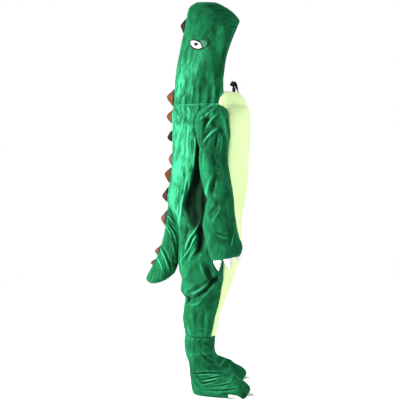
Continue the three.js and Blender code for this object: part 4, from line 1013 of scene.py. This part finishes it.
def tailBase(turn, row):
    # Row -1 lies on the seat, -2 is the middle of that root, the table starts at 0, and past its
    # last row the tip closes
    turn, row = np.broadcast_arrays(np.asarray(turn, float), np.asarray(row, float))
    lastRow = len(tailRows["top"]) - 1
    cap = np.clip(row + 2, 0, 1)
    left = tailRoot["halfWidth"] * cap * np.sin(np.radians(turn))
    height = mix(tailRoot["bottom"], tailRoot["top"], (1 + cap * np.cos(np.radians(turn))) / 2)
    angle = seatAngle(left, height)
    seat = bodyBase(angle, height) - bodyNormal(angle, height) * tailRoot["depth"]
    seat[..., 0] = left
    inside = np.clip(row, 0, lastRow)
    shrink = 1 - np.clip(row - lastRow, 0, 1)
    up = (1 + forwards(turn) * shrink) / 2
    top, topHeight, bottom, bottomHeight, halfWidth = followAll(
        tailRows, "top topHeight bottom bottomHeight halfWidth", inside)
    free = place(halfWidth * sideways(turn) * shrink, -mix(bottom, top, up), mix(bottomHeight, topHeight, up))
    return mix(seat, free, np.clip(row + 1, 0, 1)[..., None])


def buildTail():
    lastRow = len(tailRows["top"]) - 1
    rows = np.concatenate([np.linspace(-2, -1, 6)[:-1],
                           np.linspace(-1, lastRow, (lastRow + 1) * tail["rowsPerRow"]),
                           lastRow + np.linspace(0.2, 1, 5)])
    turn, row = np.meshgrid(np.linspace(180, 540, tail["columns"]), rows)
    base = tailBase(turn, row)
    normal = normalOf(tailBase, turn, np.clip(row, -0.97, lastRow - 0.03))
    middle = base.mean(axis=1, keepdims=True)
    normal = normal * np.sign((normal * (base - middle)).sum(axis=-1, keepdims=True) + 1e-9)
    wrapped, along = turn % 360, row * tail["rowLength"]
    calm = smoothStep(row, -0.85, -0.2) * smoothStep(row, lastRow, lastRow - 1.2)
    slack = np.where(wrapped < 180, sideCreases(tailSide, 1, base), sideCreases(tailSide, -1, base))
    slack *= smoothStep(np.abs(sideways(turn)), 0.15, 0.5)
    relief = foldHeight(tailFolds, 1, wrapped, along, tail["round"]) * 0.5 + slack
    relief = (relief + unevenness(wrapped, along, 4.4, 1.3)) * calm
    fromSeam = np.abs((wrapped + 180) % 360 - 180) * tail["round"]
    relief += (seamDip(fromSeam, 2.0, 5) + puckers(fromSeam, along, 0.9)) * calm
    relief += seamDip((row + 0.9) * tail["rowLength"], 2.5, 9) * smoothStep(row, -1.0, -0.8)
    grid = base + normal * relief[..., None]
    grid[:, -1] = grid[:, 0]
    piece = closedPiece("tail_plush", grid, greenPlush, "green_plush", "tail", uv=clothUv(grid),
                        masks=clothMasks(grid, relief))


# Felt spikes

spike = {"rootThick": 4.6, "tipThick": 2.6, "blunt": 0.17, "depth": 1.5, "flop": 2.0, "rings": 20,
         "columns": 24}
spikeRows = table("rootTop rootBottom tipOut tipHeight lean shade", [
    [361, 294, 20, 329, 0, 0.7], [52, -26, 33, 17, 0, 0.1], [-35, -109, 30, -68, 8, 0.0],
    [-119, -184, 27, -163, -6, 0.75], [-224, -290, 19, -255, 44, 0.45], [-290, -365, 31, -321, 0, 0.15],
    [-376, -448, 25, -420, 12, 0.65], [-482, -552, 26, -520, 58, 0.6], [-637, -682, 19, -664, 34, 0.35],
    [-696, -726, 14, -718, 52, 0.6]])
tailTop = {key: value[::-1] for key, value in tailRows.items()}


def spine(height):
    # The centre back line: over the hood, the back and the tail
    height = np.asarray(height, float)
    steps = np.linspace(2, 9, 400)
    row = np.interp(height, follow(hoodRows, "crownHeight", steps), steps)
    onBody = follow(body, "back", height, "height")
    onTail = follow(tailTop, "top", height, "topHeight")
    belowHood = np.where(height < tailRows["topHeight"][0], onTail, onBody)
    return -np.where(height <= neckline, belowHood, follow(hoodRows, "crownBack", row))


def buildSpike(index):
    # A felt blade: its root narrows by 1 - q^1.15 to a blunt tip, which sqrt(1 - q^9) rounds off
    rootTop, rootBottom, tipOut, tipHeight, leanAngle, wearAndPaintedShade = valuesOf(
        spikeRows, "rootTop rootBottom tipOut tipHeight lean shade", index)
    lean = math.radians(leanAngle)
    reach = tipOut / math.cos(lean)
    turn, q = np.meshgrid(np.radians(np.linspace(0, 360, spike["columns"] + 1)),
                          np.sin(np.linspace(0, math.pi / 2, spike["rings"])))
    along = (1 - np.cos(turn)) / 2
    face = np.sign(np.sin(turn)) * np.abs(np.sin(turn)) ** 0.35
    narrow = (1 - spike["blunt"]) * (1 - q ** 1.15) + spike["blunt"]
    narrow = narrow * np.sqrt(np.clip(1 - q ** 9, 0, 1)) * (1 + 0.05 * np.sin(7 * q + index))
    rootHeight = mix(rootTop, rootBottom, along)
    start = mix(spine(rootHeight), spine(tipHeight), q)
    out = mix(-spike["depth"], reach, q)
    thick = mix(spike["rootThick"], spike["tipThick"], q) / 2 * face
    flop = spike["flop"] * math.sin(index * 2.1) * q ** 2   # each felt blade bends a little its own way
    grid = capped(place(out * math.sin(lean) + thick * math.cos(lean) + flop,
                        start - out * math.cos(lean) + thick * math.sin(lean),
                        tipHeight + (rootHeight - tipHeight) * narrow))
    # Painted shade: darker at the root, along the edges, and on some blades all over
    shade = np.maximum(1.1 - 3.2 * q, (np.abs(np.cos(turn)) * mix(0.75, 1.25, q)) ** 5)
    # Each blade's own painted shade from the table
    shade = np.clip(shade + wearAndPaintedShade, 0, 1)
    shade = np.concatenate([shade[:1], shade, shade[-1:]])
    name = f"spike_{index + 1:02d}"
    closedPiece(f"{name}_felt", grid, brownFelt, "brown_felt", name, masks={"shaded": shade})


# Claws

claw = {"rings": 18, "columns": 28, "bulge": 1.5, "tip": 0.06, "droop": 0.12, "seat": 0.6,
        "blunt": 0.06}
handClaws = table("angle halfWidth halfThick length drift", [
    [132, 24, 7.5, 42, 6], [83, 22, 7.5, 42, 8], [33, 22, 7, 24, 4]])
footClaws = table("front across height halfWidth halfThick length heading", [
    [116, 42, -1260, 17, 10, 62, 26], [164, 2, -1259, 17, 11, 62, 0], [142, -38, -1260, 16, 10, 62, -22]])


def clawShape(name, base, tip, side):
    # A soft point: the base ring shrinks by 1 - q^1.5 along the line to its tip, which is rounded off
    centre = base.mean(axis=0)
    q = np.concatenate([np.linspace(0, 1 - claw["blunt"], claw["rings"]), [0.975, 1.0]])[:, None, None]
    rounding = np.sqrt(np.clip((1 - q) / claw["blunt"], 0, 1))
    grid = (base - centre)[None] * mix(1, claw["tip"], q ** claw["bulge"]) * rounding + mix(centre, tip, q)
    grid = np.concatenate([centre + 0 * grid[:1], grid])
    closedPiece(f"{name}_felt", grid, whiteFelt, "white_felt", name, side=side)


def buildHandClaw(name, side, i):
    angle, halfWidth, halfThick, length, drift = valuesOf(
        handClaws, "angle halfWidth halfThick length drift", i)
    turn = np.radians(np.linspace(0, 360, claw["columns"] + 1))
    lastRow = len(sleeveRows["outer"]) + 1.0
    along = angle + halfWidth / sleeveRound * np.cos(turn)
    out = halfThick * np.sin(turn) - plushThick / 2
    edge = sleeveBase(along, lastRow)
    ring = edge - normalOf(sleeveBase, along, lastRow) * out[:, None]
    ring[:, 2] = edge[:, 2] - claw["seat"]
    tip = ring.mean(axis=0) + np.array([0, -drift, -length])
    clawShape(f"hand_claw_{name}_{i + 1}", ring, tip, side)


def buildFootClaw(name, side, i):
    front, across, height, halfWidth, halfThick, length, headingAngle = valuesOf(
        footClaws, "front across height halfWidth halfThick length heading", i)
    heading = math.radians(headingAngle) + math.atan(boot["toeOut"])
    left = boot["footCentre"] + boot["toeOut"] * (front - boot["turnFrom"]) + across
    root = np.array([left, -front, height])
    ahead = np.array([math.sin(heading), -math.cos(heading), -claw["droop"]])
    ahead /= np.linalg.norm(ahead)
    beside, up = np.array([math.cos(heading), math.sin(heading), 0]), np.array([0, 0, 1])
    turn = np.radians(np.linspace(0, 360, claw["columns"] + 1))[:, None]
    base = root + beside * halfWidth * np.cos(turn) + up * halfThick * np.sin(turn)
    clawShape(f"foot_claw_{name}_{i + 1}", base, root + ahead * length, side)


# Eye patches

eyes = {"row": 5.69, "angle": 120.0, "tilt": 23.0, "columns": 64, "lift": 0.9, "corner": 0.42,
        "calmAngle": 26.0, "calmRow": 0.8}
# Each patch: ahead, above, halfLength, halfHeight, from, thick, pointed, and its felt and slot
eyeParts = {
    "eye_rim": (0, 0, 37.5, 20, 0, 0.9, 1, blackStitch, "black_felt"),
    "eye_white": (0, 0, 30, 13, 1.2, 0.9, 1, whiteFelt, "white_felt"),
    "eye_pupil": (0, 1.5, 9.5, 8, 2.4, 0.7, 0, blackStitch, "black_felt"),
    "eye_lid": (25, 17, 18, 16, 0, 0.9, 0, palePatch, "pale_green_patch")}
# A patch's profile from its middle outwards: size, height over its top, and share of its thickness
patchProfile = np.array([
    (0, 0, 1), (0.25, 0, 1), (0.5, 0, 1), (0.75, 0, 1), (0.9, 0, 1), (0.94, 0.3, 1), (0.965, 0.35, 1),
    (0.985, 0.1, 1), (1.0, 0, 0.6), (1.0, 0, 0), (0.98, 0, 0), (0.7, 0, 0), (0.35, 0, 0), (0, 0, 0)]).T


def hoodScale():
    # Millimetres over the hood for one degree and for one row, at the eye
    angle, row = eyes["angle"], eyes["row"]
    perDegree = np.linalg.norm(hoodBase(angle + 1, row) - hoodBase(angle, row))
    return perDegree, np.linalg.norm(hoodBase(angle, row + 0.5) - hoodBase(angle, row - 0.5))


def hoodPatch(part, side, name):
    # A stitched patch on the hood: its profile from the middle over a rounded rim and back underneath
    ahead, above, halfLength, halfHeight, start, thick, pointed, material, slotName = eyeParts[part]
    perDegree, perRow = hoodScale()
    tilt = math.radians(eyes["tilt"])
    scale, over, share = patchProfile[:, :, None]
    out = eyes["lift"] + start + thick * share + over
    turn = np.radians(np.linspace(0, 360, eyes["columns"] + 1))[None, :]
    c, s = np.cos(turn), np.sin(turn)
    x = ahead + halfLength * c * scale
    y = above + halfHeight * s * (1 - pointed * eyes["corner"] * c ** 4) * scale
    forward, up = x * math.cos(tilt) + y * math.sin(tilt), y * math.cos(tilt) - x * math.sin(tilt)
    grid = hoodPoint(eyes["angle"] - forward / perDegree, eyes["row"] + up / perRow, out + 0 * x)
    closedPiece(f"{part}_{name}_patch", grid, material, slotName, f"{part}_{name}", side=side, weld=0.01)


lidStitch = {"from": (9.0, 37.0), "over": (66.0, 42.0), "to": (48.0, -6.0), "steps": 48, "thick": 2.8,
             "columns": 10, "lift": 2.2, "pitch": 0.55}


def buildLidStitch(name, side):
    # A satin-stitched line over the eyelid: a quadratic curve on the hood, with a small ring carried
    # along it whose size swells a little at each stitch
    t = np.linspace(0, 1, lidStitch["steps"])[:, None]
    corner = [np.array(lidStitch[key]) for key in ("from", "over", "to")]
    flat = corner[0] * (1 - t) ** 2 + corner[1] * 2 * t * (1 - t) + corner[2] * t ** 2
    turn = np.radians(np.linspace(0, 360, lidStitch["columns"] + 1))[None, :]
    run = np.gradient(flat, axis=0)
    run /= np.linalg.norm(run, axis=1, keepdims=True)
    radius = lidStitch["thick"] / 2 * np.sqrt(np.clip(1 - (2 * t - 1) ** 8, 0.0004, 1))
    radius = radius * (1 + 0.12 * np.sin(t * lidStitch["steps"] / lidStitch["pitch"]))
    x = flat[:, :1] - run[:, 1:] * radius * np.cos(turn)
    y = flat[:, 1:] + run[:, :1] * radius * np.cos(turn)
    perDegree, perRow = hoodScale()
    grid = hoodPoint(eyes["angle"] - x / perDegree, eyes["row"] + y / perRow,
                     lidStitch["lift"] + radius * np.sin(turn))
    closedPiece(f"lid_stitch_{name}", capped(grid), blackStitch, "black_felt", side=side, weld=0.01)


# Zip

zipSettings = {"width": 16.0, "thick": 1.6, "bottom": -600.0, "behind": 1.5, "toothPitch": 2.4,
               "toothLong": 3.6, "toothThick": 1.3, "toothHigh": 1.6, "toothShift": 0.9}
zipEnd = table("front height twist", [
    [173.5, 8, 0], [163.5, 24, 0], [156, 37, 4], [151.5, 53, 18], [146, 68, 40], [140, 77, 66],
    [134, 79, 88]])


def zipPath():
    # The tape's middle line, straight behind the centre front and then its free end, with its frames
    straight = np.arange(zipSettings["bottom"], zipEnd["height"][0] - 2, 4.0)
    front = follow(body, "front", straight, "height") - plushThick - zipSettings["behind"]
    steps = np.linspace(0, len(zipEnd["height"]) - 1, 50)
    fronts = np.concatenate([front, follow(zipEnd, "front", steps)])
    heights = np.concatenate([straight, follow(zipEnd, "height", steps)])
    twist = np.radians(np.concatenate([0 * straight, follow(zipEnd, "twist", steps)]))
    path = place(0 * fronts, fronts, heights)
    run = np.gradient(path, axis=0)
    run /= np.linalg.norm(run, axis=1, keepdims=True)
    side = np.array([1.0, 0.0, 0.0])
    wide = side * np.cos(twist)[:, None] + np.cross(run, side) * np.sin(twist)[:, None]
    deep = -np.cross(run, wide)
    return path, run, wide, deep


def buildZip():
    path, run, wide, deep = zipPath()
    half, thick = zipSettings["width"] / 2, zipSettings["thick"]
    # The tape's section: flat, with its edges rounded off
    profile = np.array([[-1, 0.1], [-0.96, -0.1], [-0.4, -0.1], [0.4, -0.1], [0.96, -0.1], [1, 0.1],
                        [1, 0.9], [0.96, 1], [0.3, 1], [-0.3, 1], [-0.96, 1], [-1, 0.9], [-1, 0.1]])
    grid = path[:, None] + wide[:, None] * profile[None, :, :1] * half
    grid = capped(grid - deep[:, None] * profile[None, :, 1:] * thick)
    tape = closedPiece("zip_tape_woven", grid, tapeWeave, "black_tape", "zip_tape", uv=clothUv(grid),
                       weld=0.01)
    buildTeeth(path, run, wide, deep)


def buildTeeth(path, run, wide, deep):
    # One small moulded tooth with eight sides, repeated left and right in turn along the tape
    distance = np.concatenate([[0], np.cumsum(np.linalg.norm(np.diff(path, axis=0), axis=1))])
    at = np.arange(4, distance[-1] - 12, zipSettings["toothPitch"])

    def along(values):
        return np.stack([np.interp(at, distance, values[:, k]) for k in range(3)], axis=1)[:, None]

    spot, run, wide, deep = along(path), along(run), along(wide), along(deep)
    turn = np.radians(np.arange(0, 360, 45) + 22.5)
    corner = 1.08   # an eight-sided form's corners stand this much further out than its sides
    long, thick = (zipSettings[key] / 2 * corner for key in ("toothLong", "toothThick"))
    # Rings at the foot, below the top, and drawn in at the top
    local = np.concatenate([
        np.stack([np.cos(turn) * long * size, np.sin(turn) * thick * size, 0 * turn + high], axis=1)
        for high, size in ((0, 1), (0.8 * zipSettings["toothHigh"], 1), (zipSettings["toothHigh"], 0.72))])
    way = np.where(np.arange(len(at)) % 2, 1.0, -1.0)[:, None, None] * zipSettings["toothShift"]
    points = spot + wide * (local[None, :, :1] + way) + run * local[None, :, 1:2] + deep * local[None, :, 2:]
    index, following = np.arange(8), (np.arange(8) + 1) % 8
    walls = [np.stack([index, following, following + 8, index + 8], axis=1) + 8 * k for k in range(2)]
    caps = np.array([[16, 17, 18, 19], [16, 19, 20, 23], [20, 21, 22, 23],
                     [3, 2, 1, 0], [7, 4, 3, 0], [7, 6, 5, 4]])
    faces = np.concatenate(walls + [caps])
    allFaces = (faces[None] + 24 * np.arange(len(at))[:, None, None]).reshape(-1, 4)
    teeth = newMesh("zip_teeth", points.reshape(-1, 3), allFaces)
    faceOutwards(teeth)
    finish(teeth, darkMetal, "dark_metal")


# Building

for name, side in (("left", 1), ("right", -1)):
    buildHood(name, side)
    buildBack(name, side)
    buildBelly(name, side)
    buildSleeve(name, side)
    buildFoot(name, side)
    for i in range(3):
        buildHandClaw(name, side, i)
        buildFootClaw(name, side, i)
    for part in eyeParts:
        hoodPatch(part, side, name)
    buildLidStitch(name, side)
    print("half built:", name)
buildTail()
for index in range(len(spikeRows["lean"])):
    buildSpike(index)
buildZip()
for node in ("zip_slider", "zip_pull"):
    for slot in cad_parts[node].material_slots:
        slot.material = darkMetal
print("all pieces built")

# Camera, light and floor


def standing(name, data, spot, aim):
    thing = bpy.data.objects.new(name, data)
    thing.location = spot
    thing.rotation_euler = (Vector(aim) - Vector(spot)).to_track_quat("-Z", "Y").to_euler()
    bpy.context.collection.objects.link(thing)
    return thing


camera = {"place": (-3.65, 0.0132, -0.334), "aim": (0.0, 0.0132, -0.437), "focal": 74.3, "sensor": 36.0}
cameraData = bpy.data.cameras.new("camera")
cameraData.lens, cameraData.sensor_width = camera["focal"], camera["sensor"]
bpy.context.scene.camera = standing("camera", cameraData, camera["place"], camera["aim"])

# Soft boxes: place, aim, size and power in watts. The strongest stands behind the garment's back.
lights = {
    "behind": ((-1.25, 3.1, 0.1), (0, 0.05, -0.5), 0.8, 310.0),
    "near": ((-3.3, -1.0, 0.8), (0, 0, -0.5), 1.1, 22.0),
    "front": ((-0.8, -3.2, 0.5), (0, 0, -0.45), 1.6, 64.0),
    "far": ((3.0, 0.6, 0.1), (0, 0, -0.4), 1.6, 26.0)}
for name, (spot, aim, size, power) in lights.items():
    lamp = bpy.data.lights.new(name, "AREA")
    lamp.energy, lamp.size = power, size
    standing(name, lamp, spot, aim)

world = bpy.data.worlds.new("studio")
world.use_nodes = True
background = world.node_tree.nodes["Background"]
background.inputs["Color"].default_value = (1, 1, 1, 1)
# White behind the garment, and weaker where it only lights it
seen = addNode(world.node_tree, "ShaderNodeLightPath").outputs["Is Camera Ray"]
studio = {"seen": 1.0, "lighting": 0.22}
strength = rangeNode(world.node_tree, seen, 0.0, 1.0, studio["lighting"], studio["seen"])
world.node_tree.links.new(strength, background.inputs["Strength"])
bpy.context.scene.world = world
bpy.context.scene.view_settings.view_transform = "Standard"

floor = {"reach": 3.2, "below": 0.0005, "glow": 0.75}
floorMesh = bpy.data.meshes.new("floor")
corners = [(x * floor["reach"], y * floor["reach"], floorLevel * mm - floor["below"])
           for x, y in ((-1, -1), (1, -1), (1, 1), (-1, 1))]
floorMesh.from_pydata(corners, [], [(0, 1, 2, 3)])
floorObject = bpy.data.objects.new("floor", floorMesh)
bpy.context.collection.objects.link(floorObject)
floorPaint, floorTree, floorShader = newMaterial(
    "pale floor", Base_Color=(0.86, 0.86, 0.86, 1), Roughness=0.95, Specular_IOR_Level=0.1,
    Emission_Color=(1, 1, 1, 1))
floorSeen = addNode(floorTree, "ShaderNodeLightPath").outputs["Is Camera Ray"]
floorTree.links.new(times(floorTree, floorSeen, floor["glow"]), floorShader.inputs["Emission Strength"])
floorMesh.materials.append(floorPaint)

print("scene ready")
